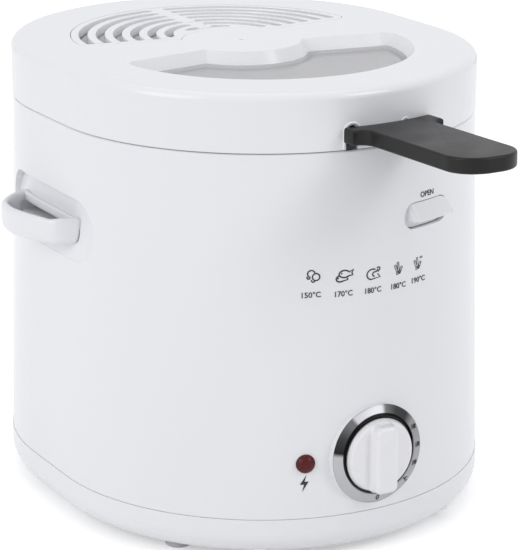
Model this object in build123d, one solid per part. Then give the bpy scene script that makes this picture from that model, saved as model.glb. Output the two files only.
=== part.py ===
from build123d import *
import math
import os

os.makedirs("parts", exist_ok=True)

# Deep fryer with a basket, hinged lid and dial thermostat.
# Frame: millimetres, +Z up, front towards -Y, right-hand side towards +X.
# Origin: on the worktop, under the middle of the body.

# ---------------------------------------------------------------- body and lid
END_CENTRE = 19.7        # centres of the two end arcs of the oval plan, along Y
BODY_HALF = 105.65       # half width of the housing at its rim
TAPER = 1.62             # the housing widens downwards by this angle, degrees
WALL = 2.6               # moulded wall of housing, base and lid
FOOT_HEIGHT = 4.0
BASE_HEIGHT = 19.0
HOUSING_HEIGHT = 176.4
LID_GAP = 0.6            # shadow gap between housing rim and lid
LID_HEIGHT = 27.5
LID_HALF = 106.0
LID_EDGE = 4.0           # rounding of the lid's top edge
BASE_EDGE = 11.0         # rounding of the base's bottom edge
BASE_PROUD = 0.3         # the base stands out from the housing by this much
RIM_EDGE = 0.9
SEAT_GAP = 0.3           # usual air between two seated pieces
FIT = 0.05               # radial clearance of a pin, screw or shaft
FAR_X, FAR_Y, FAR_Z = 150.0, 80.0, 300.0    # cutting blocks reach this far

SEAM_Z = FOOT_HEIGHT + BASE_HEIGHT
RIM_Z = SEAM_Z + HOUSING_HEIGHT
LID_Z = RIM_Z + LID_GAP
TOP_Z = LID_Z + LID_HEIGHT
PLATE_Z = TOP_Z - WALL   # underside of the lid's top plate

# ---------------------------------------------------------------- deck and pot
DECK_DROP = 2.7          # deck lies this far below the rim
DECK_THICK = 2.6
SHELF_WIDTH = 2.4        # shelf inside the housing that carries the deck
SHELF_HEIGHT = 3.0
POT_TOP_R = 83.6
POT_BOTTOM_R = 77.0
POT_DEPTH = 111.7
POT_WALL = 1.5
POT_CORNER = 18.0
FLANGE_R = 92.0
POT_HOLE_GAP = 1.0
STUD_R = 2.5
STUD_LENGTH = 14.5

DECK_Z = RIM_Z - DECK_DROP
POT_BASE_Z = DECK_Z - POT_DEPTH
FLANGE_Z = DECK_Z + POT_WALL

# ---------------------------------------------------------------- heating
ELEMENT_RING_R = 55.0
ELEMENT_TUBE_R = 3.5
ELEMENT_GAP_DEG = 40.0
ELEMENT_LEG = 24.0
STRAP_WIDTH = 14.0
STRAP_THICK = 1.2
NUT_HEIGHT = 4.0
SHIELD_R = 88.0
SHIELD_THICK = 0.8
SHIELD_DROP = 21.0       # shield floor below the pot's bottom
SHIELD_WALL = 19.0
PILLAR_RING_R = 72.0
PILLAR_R = 4.0
FUSE_R = 2.2
FUSE_LENGTH = 14.0

# ---------------------------------------------------------------- fasteners
SCREW_R = 1.5
SCREW_HEAD_R = 3.0
SCREW_HEAD = 2.0
BOSS_R = 4.2
POST_ANGLES = (30, 150, 210, 330)
POST_INSET = 7.8         # post centre inside the body's outer face

# ---------------------------------------------------------------- feet
FOOT_R = 6.5
FOOT_RING_R = 93.8
FOOT_ANGLE = 55
FOOT_STEM_R = 3.0
FOOT_STEM = 7.0

# ---------------------------------------------------------------- side handles
SIDE_HANDLE_Y = 3.8      # middle of the side handles, behind the body's middle
DISH_WIDTH = 93.0
DISH_HEIGHT = 31.0
DISH_Z = RIM_Z - 48.9
DISH_TILT = 8.0
MOUTH_HALF = 32.0
MOUTH_LOW = DISH_Z - 7.2
MOUTH_HIGH = DISH_Z + 2.7
MOUTH_CORNER = 4.0
LEDGE_LOW = DISH_Z - 7.0
LEDGE_HIGH = DISH_Z + 4.9
LEDGE_HALF = 34.3
LEDGE_REACH = 20.0
LEDGE_LOW_EDGE = 4.0     # rounding of the ledge's outer edges
LEDGE_HIGH_EDGE = 1.4
GRIP_WALL = 3.2
CUP_DEPTH = 17.0
CUP_WALL = 1.6

# ---------------------------------------------------------------- dial and knob
DIAL_Z = 51.1
DIAL_STAND = 0.4         # dial plane in front of the housing's face
RING_OUT_R = 24.5
RING_IN_R = 19.3
RING_THICK = 1.0
RING_CROWN = 1.8         # the ring's inner edge stands this much prouder
BACKING_THICK = 1.0
KNOB_SKIRT_R = 18.3
KNOB_DISC_R = 17.4
KNOB_STAND = 2.4         # knob's disc in front of the ring
KNOB_SKIRT = 1.0
BAR_WIDTH = 11.0
BAR_UP = 16.2
BAR_DOWN = 20.4
BAR_STAND = 3.8
SHAFT_R = 3.0
SHAFT_FLAT = 0.8
BUSH_R = 5.0
THERMO_WIDTH = 32.0
THERMO_HEIGHT = 28.0
THERMO_DEPTH = 22.0
THERMO_AIR = 5.0         # thermostat face behind the housing's inner face
TUBE_RISE = 20.9         # capillary goes up this far before its first bend
TUBE_STEP = 6.0          # height of its slanted run
TUBE_TAIL = 14.0         # and of its last run, up to the bulb
BULB_DROP = 46.7         # bulb's top below the deck

# ---------------------------------------------------------------- pilot lamp
LAMP_X = -35.6
LAMP_Z = 50.4
LENS_R = 4.5
LENS_DOME = 2.4
LAMP_BODY_R = 5.5
LAMP_BODY = 20.0

# ---------------------------------------------------------------- lid openings
WINDOW_OUT_R = 75.5
WINDOW_HUB_R = 30.0
VENT_OUT_R = 76.5
VENT_HUB_R = 29.5
WINDOW_SETBACK = 8.5     # inner edge line's distance from the middle at x = 0
VENT_SETBACK = 10.3
SWEEP_BACK = 9.1         # angle of those edge lines, degrees
OUTLINE_CORNER = 7.0
FRAME_WALL = 2.2
WINDOW_SLOPE_DEPTH = 6.0
WINDOW_SLOPE_IN = 3.6
WINDOW_LEDGE_DROP = 8.5
WINDOW_LEDGE_IN = 6.0
PANE_THICK = 2.0
SEAL_THICK = 0.6
COVER_THICK = 4.4
COVER_GAP = 0.35
COVER_LEDGE_IN = 4.0
TRAY_DEPTH = 15.0
TRAY_LIP = 7.0
GRID_THICK = 1.6
MAT_AIR = 0.7
SLOT_COUNT = 7
SLOT_FIRST_R = 70.0
SLOT_PITCH = 8.67
SLOT_WIDTH = 4.6
SLOT_MARGIN = 5.2
SLOT_RIB = 7.4

# ---------------------------------------------------------------- lid inner
LINER_R = 91.0
LINER_THICK = 1.2
LINER_Z = LID_Z + 3.2
GASKET_IN_R = 84.5
GASKET_OUT_R = 90.5
LID_BOSS_X = 83.0
LID_BOSS_Y = 9.0

# ---------------------------------------------------------------- hinge
HINGE_Z = RIM_Z - 2.9
HINGE_R = 4.2
HINGE_AIR = 0.65
PIN_R = 1.5
KNUCKLE_HALF = 21.5
EAR_GAP = 0.5
EAR_WIDTH = 7.5

# ---------------------------------------------------------------- release
BUTTON_X = 31.3
BUTTON_Z = RIM_Z - 36.0
BUTTON_WIDTH = 29.4
BUTTON_HEIGHT = 12.0
BUTTON_GAP = 0.4
BUTTON_TRAVEL = 3.5
BUTTON_STAND = 5.6
LATCH_X = 40.0
LATCH_WIDTH = 9.0
LATCH_Y = -105.5
LATCH_Z = RIM_Z - 23.4
LATCH_FRONT = 2.7        # lever's pushed face in front of its pivot
LATCH_BACK = 1.0
LATCH_DOWN = 15.5
LATCH_UP = 10.5
NOSE_REACH = 4.0
NOSE_HEIGHT = 3.5
NOSE_GAP = 0.7           # nose stops this far short of the catch
PLUNGER_HEIGHT = 2.0
CATCH_THICK = 3.0
CATCH_BARB = 2.0
CATCH_FOOT_Z = LATCH_Z + 2.0

# ---------------------------------------------------------------- basket
BASKET_RIM_Z = DECK_Z - 10.7
BASKET_FLOOR_Z = POT_BASE_Z + 12.0
BASKET_TOP_R = POT_TOP_R - 13.6
BASKET_BOTTOM_R = POT_BOTTOM_R - 12.0
BASKET_WALL = 0.9
BASKET_CORNER = 9.0
RIM_WIRE = 4.0
RIB_COUNT = 8
RIB_DEG = 4.0
RIB_THICK = 1.6
HANDLE_X = 7.0           # the basket handle sits to the right of the middle
PRONG_OFFSET = 20.0
PRONG_WIDTH = 4.8
PRONG_LOW = LID_Z
PRONG_HIGH = LID_Z + 8.4
PRONG_NECK = 4.2         # the prongs are this much lower inside the lid than outside
PRONG_IN_Y = -112.0
SKIRT_SLOT_WIDTH = 6.0
SKIRT_SLOT_TOPS = (LID_Z + 11.4, LID_Z + 10.1)
STRIP_WIDTH = 4.2
STRIP_THICK = 2.0
STRIP_HIGH_Z = LID_Z + 3.0
STRIP_LOW_Z = LID_Z + 0.5
ROOT_HALF = 24.6
ROOT_BACK_Y = -119.4     # the root's back follows the lid's skirt
ROOT_FRONT_Y = -132.6
PADDLE_HALF = 17.6
PADDLE_TIP_Y = -212.0
PADDLE_CORNER = 15.0
PADDLE_THICK = 7.4
PADDLE_TOP_Z = LID_Z + 10.9
ROOT_AIR = 0.9           # between the handle's root and the lid's skirt
PADDLE_TILT = 1.5
RIVET_R = 1.2

# ---------------------------------------------------------------- rear
GLAND_Z = 40.0
GLAND_BORE_R = 3.2
GLAND_NECK_R = 5.5
GLAND_FLANGE_R = 8.5
GLAND_FLANGE = 2.2       # thickness of the gland's outer plate
GLAND_INNER = 1.5
GLAND_TAIL = 6.0


def body_half(z):
    return BODY_HALF + math.tan(math.radians(TAPER)) * (RIM_Z - z)


def oval(half, z):
    return Pos(0, 0, z) * SlotCenterToCenter(2 * END_CENTRE, 2 * half, rotation=90)


def oval_prism(half, low, high):
    return extrude(oval(half, low), amount=high - low)


def body_prism(inset, low, high, tilt=TAPER):
    return extrude(oval(body_half(low) - inset, low), amount=high - low, taper=tilt)


def front_y(x, half):
    return -(END_CENTRE + math.sqrt(half**2 - x**2))


def rod(radius, start, end):
    a, b = Vector(*start), Vector(*end)
    plane = Plane(origin=a, z_dir=(b - a).normalized())
    return extrude(plane * Circle(radius), amount=(b - a).length)


def block(low, high):
    size = [h - l for l, h in zip(low, high)]
    return Pos(*low) * Box(*size, align=(Align.MIN, Align.MIN, Align.MIN))


def side_profile(points, x_low, x_high):
    """Closed outline of (y, z) points, extruded along X."""
    outline = make_face(Polyline(*[(x_low, y, z) for y, z in points], close=True))
    return extrude(outline, amount=x_high - x_low, dir=(1, 0, 0))


def ring_angle(angle, radius):
    """Point on an arc about an end centre; 0 degrees is the front, then right."""
    a = math.radians(angle)
    end = -END_CENTRE if math.cos(a) > 0 else END_CENTRE
    return radius * math.sin(a), end - radius * math.cos(a)


def screw(x, y, head_z, length, up=True):
    turn = Location() if up else Rot(180, 0, 0)
    head = Cylinder(SCREW_HEAD_R, SCREW_HEAD, align=(Align.CENTER, Align.CENTER, Align.MAX))
    shank = Cylinder(SCREW_R, length, align=(Align.CENTER, Align.CENTER, Align.MIN))
    return Pos(x, y, head_z) * turn * (head + shank)


def save(name, shape):
    export_step(shape, f"parts/{name}.step")


# ---------------------------------------------------------------- lid outlines
def lid_outline(sign, out_r, hub_r, setback, inset):
    """Opening in the lid: sign -1 is the window in front, +1 the vent behind."""
    end = Pos(0, sign * END_CENTRE) * Circle(out_r - inset)
    far = 2 * out_r
    rise = far * math.tan(math.radians(SWEEP_BACK))
    near = setback + inset / math.cos(math.radians(SWEEP_BACK))
    corners = [(-far, near + rise), (0, near), (far, near + rise), (far, 2 * far), (-far, 2 * far)]
    band = make_face(Polyline(*[(x, sign * y, 0) for x, y in corners], close=True))
    shape = end & band
    shape -= Circle(hub_r + inset)
    return shape


def rounded_outline(sign, out_r, hub_r, setback, inset):
    shape = lid_outline(sign, out_r, hub_r, setback, inset)
    outer = shape.vertices().sort_by(lambda v: abs(v.X))[-2:]
    return fillet(outer, max(OUTLINE_CORNER - inset, 1.0))


def window_shape(inset, low, high):
    face = rounded_outline(-1, WINDOW_OUT_R, WINDOW_HUB_R, WINDOW_SETBACK, inset)
    return extrude(Pos(0, 0, low) * face, amount=high - low)


def vent_shape(inset, low, high):
    face = rounded_outline(1, VENT_OUT_R, VENT_HUB_R, VENT_SETBACK, inset)
    return extrude(Pos(0, 0, low) * face, amount=high - low)


# ---------------------------------------------------------------- dish of a side handle
def dish_prism(grow):
    """Oval column along X that bounds the scooped seat of the left handle."""
    height = DISH_HEIGHT + 2 * grow
    span = DISH_WIDTH - DISH_HEIGHT
    face = Plane.YZ * SlotCenterToCenter(span, height)
    return Pos(-body_half(SEAM_Z) - 2, SIDE_HANDLE_Y, DISH_Z) * extrude(face, amount=30)


DISH_LOW = DISH_Z - DISH_HEIGHT / 2


def dish_core(inset):
    """Body whose side leans in faster, so that the seat deepens upwards."""
    return body_prism(inset, DISH_LOW - 1, DISH_LOW + DISH_HEIGHT + 4, TAPER + DISH_TILT)


def mouth_prism(inset):
    width = 2 * (MOUTH_HALF - inset)
    height = MOUTH_HIGH - MOUTH_LOW - 2 * inset
    face = Plane.YZ * RectangleRounded(width, height, MOUTH_CORNER - inset)
    middle = (MOUTH_HIGH + MOUTH_LOW) / 2
    return Pos(-body_half(SEAM_Z) - 2, SIDE_HANDLE_Y, middle) * extrude(face, amount=30)


def mirror_x(shape):
    return mirror(shape, about=Plane.YZ)


# ---------------------------------------------------------------- base
base_half = body_half(SEAM_Z) + BASE_PROUD
base_top = SEAM_Z - 0.2
base = oval_prism(base_half, FOOT_HEIGHT, base_top)
base = fillet(base.faces().sort_by(Axis.Z)[0].edges(), BASE_EDGE)
hollow = oval_prism(base_half - WALL, FOOT_HEIGHT + WALL, base_top + 1)
hollow = fillet(hollow.faces().sort_by(Axis.Z)[0].edges(), BASE_EDGE - WALL)
base -= hollow
lip_out = body_half(SEAM_Z) - WALL - SEAT_GAP - 0.2
lip_low, lip_high, lip_thick = SEAM_Z - 8, SEAM_Z + 4, 1.8
lip = oval_prism(lip_out, lip_low, lip_high)
lip += oval_prism(base_half - WALL + 0.5, lip_low, base_top)
base += lip - oval_prism(lip_out - lip_thick, lip_low - 1, lip_high + 1)

post_ring_r = body_half(SEAM_Z) - POST_INSET
post_top = SEAM_Z + 4.2
screw_seat = FOOT_HEIGHT + 8
posts = [ring_angle(angle, post_ring_r) for angle in POST_ANGLES]
for x, y in posts:
    base += rod(BOSS_R, (x, y, FOOT_HEIGHT + 1), (x, y, post_top))
for x, y in posts:
    base -= rod(SCREW_R + 2 * FIT, (x, y, 0), (x, y, post_top + 1))
    base -= rod(SCREW_HEAD_R + 0.5, (x, y, 0), (x, y, screw_seat))

shield_z = POT_BASE_Z - SHIELD_DROP
pillars = []
for angle in (90, 210, 330):
    a = math.radians(angle)
    pillars.append((PILLAR_RING_R * math.cos(a), PILLAR_RING_R * math.sin(a)))
for x, y in pillars:
    base += rod(PILLAR_R, (x, y, FOOT_HEIGHT + 1), (x, y, shield_z))
    base -= rod(SCREW_R + FIT, (x, y, shield_z - 12), (x, y, shield_z + 1))

vent_row = 9.0
for row in range(-3, 4):
    for side in (-1, 1):
        slot = Pos(side * 28, row * vent_row, 0) * SlotOverall(34, 4)
        base -= extrude(slot, amount=FOOT_HEIGHT + WALL + 1)

foot_angles = (FOOT_ANGLE, 180 - FOOT_ANGLE, 180 + FOOT_ANGLE, 360 - FOOT_ANGLE)
feet_at = [ring_angle(angle, FOOT_RING_R) for angle in foot_angles]
for x, y in feet_at:
    base -= rod(FOOT_STEM_R + FIT, (x, y, 0), (x, y, FOOT_HEIGHT + WALL + 1))
save("base", base)

feet = []
for x, y in feet_at:
    pad = rod(FOOT_R, (x, y, 0), (x, y, FOOT_HEIGHT))
    pad = fillet(pad.faces().sort_by(Axis.Z)[0].edges(), 1.0)
    feet.append(pad + rod(FOOT_STEM_R, (x, y, FOOT_HEIGHT), (x, y, FOOT_STEM)))
save("feet", Compound(feet))

base_screws = [screw(x, y, screw_seat, post_top - screw_seat + 8) for x, y in posts]
save("base_screws", Compound(base_screws))

# ---------------------------------------------------------------- housing
housing = body_prism(0, SEAM_Z, RIM_Z)
housing = fillet(housing.faces().sort_by(Axis.Z)[-1].edges(), RIM_EDGE)
housing -= body_prism(WALL, SEAM_Z - 1, RIM_Z + 1)
deck_low = DECK_Z - DECK_THICK
shelf = body_prism(WALL / 2, deck_low - SHELF_HEIGHT, deck_low)
housing += shelf - body_prism(WALL + SHELF_WIDTH, deck_low - SHELF_HEIGHT - 1, deck_low + 1)

# scooped seats and mouths of the side handles
backing = dish_prism(2.4) & (body_prism(0, DISH_LOW - 6, DISH_LOW + DISH_HEIGHT + 6) - dish_core(WALL))
scoop = dish_prism(0) - dish_core(0)
for turn in (lambda s: s, mirror_x):
    housing += turn(backing)
    housing -= turn(scoop)
    housing -= turn(mouth_prism(0))

# dial seat: a round boss with a flat front
dial_y = front_y(0, body_half(DIAL_Z)) - DIAL_STAND
inner_front_y = front_y(0, body_half(DIAL_Z) - WALL)
housing += rod(RING_OUT_R, (0, dial_y, DIAL_Z), (0, inner_front_y + 1, DIAL_Z))
housing -= rod(RING_OUT_R + SEAT_GAP, (0, dial_y - 5, DIAL_Z), (0, dial_y, DIAL_Z))
housing -= body_prism(WALL, SEAM_Z - 1, SEAM_Z + 70)

# screw bosses that take the base's screws, tied to the wall by a short rib
boss_low, boss_high = post_top + SEAT_GAP, SEAM_Z + 34
for angle, (x, y) in zip(POST_ANGLES, posts):
    boss = rod(BOSS_R, (x, y, boss_low), (x, y, boss_high))
    reach = body_half(SEAM_Z) - WALL * 0.6 - post_ring_r
    rib = Box(3, reach, boss_high - boss_low, align=(Align.CENTER, Align.MAX, Align.MIN))
    boss += Pos(x, y, boss_low) * Rot(0, 0, angle) * rib
    boss -= rod(SCREW_R + FIT, (x, y, boss_low - 1), (x, y, boss_low + 12))
    housing += boss

# hole for the dial's bush
housing -= rod(BUSH_R + SEAT_GAP, (0, dial_y - 1, DIAL_Z), (0, inner_front_y + 2, DIAL_Z))

# two bosses behind the wall for the thermostat's bracket
bracket_z = THERMO_HEIGHT / 2 + 5.6
plate_y = inner_front_y + THERMO_AIR
for side in (-1, 1):
    z = DIAL_Z + side * bracket_z
    boss = rod(BOSS_R, (0, plate_y, z), (0, front_y(0, body_half(z) - WALL / 2), z))
    boss -= rod(SCREW_R + FIT, (0, plate_y + 1, z), (0, plate_y - 4.6, z))
    housing += boss

# hole for the pilot lamp, square to the wall
lamp_angle = math.asin(LAMP_X / body_half(LAMP_Z))
lamp_out = Vector(math.sin(lamp_angle), -math.cos(lamp_angle), 0)
lamp_face = Vector(LAMP_X, front_y(LAMP_X, body_half(LAMP_Z)), LAMP_Z)


def lamp_rod(radius, start, end):
    a, b = lamp_face + lamp_out * start, lamp_face + lamp_out * end
    return rod(radius, tuple(a), tuple(b))


housing -= lamp_rod(LENS_R + 0.15, -WALL - 3, 3)

# opening of the release button
button_y = front_y(BUTTON_X, body_half(BUTTON_Z))


def button_prism(width, height, y_low, y_high):
    face = Plane.XZ * SlotOverall(width, height)
    solid = extrude(face, amount=y_high - y_low)
    return Pos(BUTTON_X, y_high, BUTTON_Z) * solid


opening_width, opening_height = BUTTON_WIDTH + 2 * BUTTON_GAP, BUTTON_HEIGHT + 2 * BUTTON_GAP
housing -= button_prism(opening_width, opening_height, button_y - 20, button_y + 25)

# deck: the pot hangs in it; ears under it for the latch, a slot for the catch
# and the seat of the button's spring
deck = body_prism(WALL + 0.25, deck_low, DECK_Z)
deck -= rod(POT_TOP_R + POT_HOLE_GAP, (0, 0, deck_low - 9), (0, 0, RIM_Z))
latch_low_x, latch_high_x = LATCH_X - LATCH_WIDTH / 2, LATCH_X + LATCH_WIDTH / 2
ear_thick = 2.2
ear_low_z = LATCH_Z - 4
for inner, outer in ((latch_low_x - 0.4, -ear_thick), (latch_high_x + 0.4, ear_thick)):
    low_x, high_x = sorted((inner, inner + outer))
    deck += block((low_x, LATCH_Y - 3.2, ear_low_z), (high_x, LATCH_Y + 4, deck_low + 0.5))
deck -= rod(PIN_R + FIT, (latch_low_x - 4, LATCH_Y, LATCH_Z), (latch_high_x + 4, LATCH_Y, LATCH_Z))
catch_front = LATCH_Y + NOSE_REACH + NOSE_GAP
catch_back = catch_front + CATCH_BARB + CATCH_THICK
deck -= block((latch_low_x - 1, catch_front - 2, deck_low - 1), (latch_high_x + 1, catch_back + 2, RIM_Z))
spring_x = BUTTON_X - 8
seat_y = LATCH_Y + 1.5
deck += block((spring_x - 5, seat_y, BUTTON_Z - 6), (spring_x + 5, seat_y + 2.2, deck_low + 0.5))
save("deck_ring", deck)

# hinge ears on the back wall
hinge_y = -front_y(0, body_half(HINGE_Z)) + HINGE_AIR + HINGE_R
ear_x = KNUCKLE_HALF + EAR_GAP
ear_side = [(116, HINGE_Z - 14), (hinge_y - 2, HINGE_Z - HINGE_R), (hinge_y, HINGE_Z - HINGE_R)]
ear_side += [(hinge_y, RIM_Z - 0.4), (116, RIM_Z - 0.4)]
for side in (-1, 1):
    low_x, high_x = sorted((side * ear_x, side * (ear_x + EAR_WIDTH)))
    ear = side_profile(ear_side, low_x, high_x)
    ear += rod(HINGE_R, (low_x, hinge_y, HINGE_Z), (high_x, hinge_y, HINGE_Z))
    ear -= body_prism(WALL, HINGE_Z - 30, RIM_Z + 5)
    housing += ear
pin_reach = ear_x + EAR_WIDTH - 0.5
housing -= rod(PIN_R + FIT, (-pin_reach - 2, hinge_y, HINGE_Z), (pin_reach + 2, hinge_y, HINGE_Z))

# notch for the cord gland, open at the bottom edge: the gland slides up into it
back_y = -front_y(0, body_half(GLAND_Z))


def gland_block(half_width, low, high):
    """Upright block through the back wall, as wide as the gland's neck or plates."""
    return block((-half_width, back_y - 12, low), (half_width, back_y + 12, high))


notch_top = GLAND_Z + GLAND_NECK_R + SEAT_GAP
housing -= gland_block(GLAND_NECK_R + SEAT_GAP, SEAM_Z - 1, notch_top)
save("housing", housing)

# ---------------------------------------------------------------- side handles
ledge_edge = body_half(DISH_Z) + LEDGE_REACH
handle_wall = -body_half(DISH_Z)
ledge_root = -body_half(DISH_Z) + 6


def ledge_face(inset):
    """D-shaped plan of the grip ledge: flat towards the body, bowed outwards."""
    half, tip = LEDGE_HALF - inset, -(ledge_edge - inset)
    bow = Spline(
        (ledge_root, half),
        (ledge_root - (ledge_edge - body_half(DISH_Z)) * 0.82, half * 0.72),
        (tip, 0),
        (ledge_root - (ledge_edge - body_half(DISH_Z)) * 0.82, -half * 0.72),
        (ledge_root, -half),
        tangents=[(-0.7, -0.25), (0.7, -0.25)],
    )
    return make_face([*bow.edges(), Line((ledge_root, -half), (ledge_root, half))])


at_handle = Pos(0, SIDE_HANDLE_Y, 0)
ledge = extrude(Pos(0, 0, LEDGE_LOW) * ledge_face(0), amount=LEDGE_HIGH - LEDGE_LOW)
bows = ledge.edges().filter_by(lambda e: e.geom_type != GeomType.LINE)
ledge = fillet(bows.sort_by(Axis.Z)[:1], LEDGE_LOW_EDGE)
bows = ledge.edges().filter_by(lambda e: e.geom_type != GeomType.LINE and e.center().Z > LEDGE_HIGH - 0.01)
ledge = at_handle * fillet(bows, LEDGE_HIGH_EDGE)
ledge -= dish_core(-SEAT_GAP)
cup_back = -body_half(DISH_Z) + CUP_DEPTH


def side_band(x_low, x_high, z_low=0.0):
    """Tall block beside the body between two places along X, clear of every edge."""
    return block((x_low, -FAR_Y, z_low), (x_high, FAR_Y, FAR_Z))


neck = mouth_prism(SEAT_GAP) & side_band(-FAR_X, cup_back)
neck -= side_band(-FAR_X, handle_wall - 1.0)
grip = ledge + neck
cup_floor = LEDGE_LOW + 2.4
hollow = at_handle * extrude(Pos(0, 0, cup_floor) * ledge_face(GRIP_WALL), amount=20)
cup_room = mouth_prism(SEAT_GAP + CUP_WALL) & side_band(handle_wall - 1.5, cup_back - CUP_WALL, cup_floor)
grip -= hollow & side_band(-FAR_X, handle_wall + 2.2)
grip -= cup_room
save("side_handle_left", grip)
save("side_handle_right", mirror_x(grip))

# ---------------------------------------------------------------- pot
pot_outer = Polyline(
    (0, 0, POT_BASE_Z),
    (POT_BOTTOM_R, 0, POT_BASE_Z),
    (POT_TOP_R, 0, DECK_Z),
    (FLANGE_R, 0, DECK_Z),
    (FLANGE_R, 0, FLANGE_Z),
    (POT_TOP_R - POT_WALL, 0, FLANGE_Z),
    (POT_BOTTOM_R - POT_WALL, 0, POT_BASE_Z + POT_WALL),
    (0, 0, POT_BASE_Z + POT_WALL),
    close=True,
)
pot_face = make_face(pot_outer)
low_corners = pot_face.vertices().filter_by(lambda v: v.Z < POT_BASE_Z + 5 and v.X > 10)
outer_corner = low_corners.sort_by(Axis.X)[-1]
pot_face = fillet(outer_corner, POT_CORNER)
inner_corner = pot_face.vertices().sort_by_distance((POT_BOTTOM_R - POT_WALL, 0, POT_BASE_Z + POT_WALL))[0]
pot_face = fillet(inner_corner, POT_CORNER - POT_WALL)
pot = revolve(pot_face, Axis.Z)
pot += rod(STUD_R, (0, 0, POT_BASE_Z + POT_WALL / 2), (0, 0, POT_BASE_Z - STUD_LENGTH))
save("pot", pot)

# ---------------------------------------------------------------- heating element
element_z = POT_BASE_Z - SEAT_GAP - ELEMENT_TUBE_R
section = Plane.XZ * Pos(ELEMENT_RING_R, element_z) * Circle(ELEMENT_TUBE_R)
element_arc = revolve(section, Axis.Z, revolution_arc=360 - ELEMENT_GAP_DEG)
element_arc = Rot(0, 0, 90 + ELEMENT_GAP_DEG / 2) * element_arc
element = element_arc
legs = []
for side in (-1, 1):
    a = math.radians(90 + side * ELEMENT_GAP_DEG / 2)
    x, y = ELEMENT_RING_R * math.cos(a), ELEMENT_RING_R * math.sin(a)
    legs.append((x, y))
    element += Pos(x, y, element_z) * Sphere(ELEMENT_TUBE_R)
    element += rod(ELEMENT_TUBE_R, (x, y, element_z), (x, y, element_z - ELEMENT_LEG))
save("heating_element", element)

strap_top = element_z - ELEMENT_TUBE_R - SEAT_GAP
strap_reach = ELEMENT_RING_R + ELEMENT_TUBE_R + 2
strap_half = STRAP_WIDTH / 2
strap = block((-strap_reach, -strap_half, strap_top - STRAP_THICK), (strap_reach, strap_half, strap_top))
strap -= rod(STUD_R + FIT, (0, 0, strap_top - 5), (0, 0, strap_top + 1))
save("element_strap", strap)

nut_top = strap_top - STRAP_THICK
nut = extrude(Pos(0, 0, nut_top - NUT_HEIGHT) * RegularPolygon(4.6, 6), amount=NUT_HEIGHT)
nut -= rod(STUD_R + FIT, (0, 0, nut_top - 9), (0, 0, nut_top + 1))
save("strap_nut", nut)

shield = rod(SHIELD_R, (0, 0, shield_z), (0, 0, shield_z + SHIELD_WALL))
shield -= rod(SHIELD_R - SHIELD_THICK, (0, 0, shield_z + SHIELD_THICK), (0, 0, shield_z + SHIELD_WALL + 1))
for x, y in legs:
    shield -= rod(ELEMENT_TUBE_R + 2, (x, y, shield_z - 1), (x, y, shield_z + 3))
for x, y in pillars:
    shield -= rod(SCREW_R + 2 * FIT, (x, y, shield_z - 1), (x, y, shield_z + 3))
save("heat_shield", shield)

shield_screws = [screw(x, y, shield_z + SHIELD_THICK, 10, up=False) for x, y in pillars]
save("shield_screws", Compound(shield_screws))

fuse_z = POT_BASE_Z - SEAT_GAP - FUSE_R
fuse = rod(FUSE_R, (-FUSE_LENGTH / 2, 26, fuse_z), (FUSE_LENGTH / 2, 26, fuse_z))
fuse += rod(0.6, (-FUSE_LENGTH / 2 - 8, 26, fuse_z), (FUSE_LENGTH / 2 + 8, 26, fuse_z))
save("thermal_fuse", fuse)

# ---------------------------------------------------------------- thermostat
thermo_y = plate_y + STRAP_THICK
thermostat = block(
    (-THERMO_WIDTH / 2, thermo_y, DIAL_Z - THERMO_HEIGHT / 2),
    (THERMO_WIDTH / 2, thermo_y + THERMO_DEPTH, DIAL_Z + THERMO_HEIGHT / 2),
)
thermostat = fillet(thermostat.edges().filter_by(Axis.Y), 3)
thermostat += rod(BUSH_R, (0, thermo_y, DIAL_Z), (0, inner_front_y - WALL + 0.6, DIAL_Z))
for x in (-9, 0, 9):
    tab_y = thermo_y + THERMO_DEPTH
    tab = block((x - 3, tab_y, DIAL_Z - 6), (x + 3, tab_y + 8, DIAL_Z - 5.2))
    thermostat += tab
shaft_in_y = thermo_y + 12
thermostat -= rod(SHAFT_R + FIT, (0, dial_y - 5, DIAL_Z), (0, shaft_in_y + SEAT_GAP, DIAL_Z))
save("thermostat", thermostat)

bracket = block((-9, plate_y, DIAL_Z - bracket_z - 5), (9, thermo_y, DIAL_Z + bracket_z + 5))
bracket -= rod(BUSH_R + FIT, (0, plate_y - 3, DIAL_Z), (0, thermo_y + 3, DIAL_Z))
for side in (-1, 1):
    z = DIAL_Z + side * bracket_z
    bracket -= rod(SCREW_R + FIT, (0, plate_y - 3, z), (0, thermo_y + 3, z))
save("thermostat_bracket", bracket)

bracket_screws = []
for side in (-1, 1):
    z = DIAL_Z + side * bracket_z
    head = rod(SCREW_HEAD_R, (0, thermo_y, z), (0, thermo_y + SCREW_HEAD, z))
    bracket_screws.append(head + rod(SCREW_R, (0, thermo_y, z), (0, plate_y - 4.3, z)))
save("bracket_screws", Compound(bracket_screws))

# sensing bulb beside the pot, with its capillary down to the thermostat
thermo_top = DIAL_Z + THERMO_HEIGHT / 2
low_bend = thermo_top + TUBE_RISE
high_bend = low_bend + TUBE_STEP
bulb_r, bulb_top, bulb_low = 2.5, DECK_Z - BULB_DROP, high_bend + TUBE_TAIL
pot_at_bulb = POT_BOTTOM_R + (POT_TOP_R - POT_BOTTOM_R) * (bulb_top - POT_BASE_Z) / POT_DEPTH
bulb_y = -(pot_at_bulb + SEAT_GAP + bulb_r)
bulb = rod(bulb_r, (0, bulb_y, bulb_low), (0, bulb_y, bulb_top))
tube_end_y = thermo_y + THERMO_DEPTH / 2
route = FilletPolyline(
    (0, bulb_y, bulb_low + 0.5),
    (0, bulb_y, high_bend),
    (0, tube_end_y, low_bend),
    (0, tube_end_y, thermo_top),
    radius=5,
)
tube = sweep(Plane(origin=route @ 0, z_dir=route % 0) * Circle(0.9), path=route)
save("sensor_tube", bulb + tube)

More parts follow.
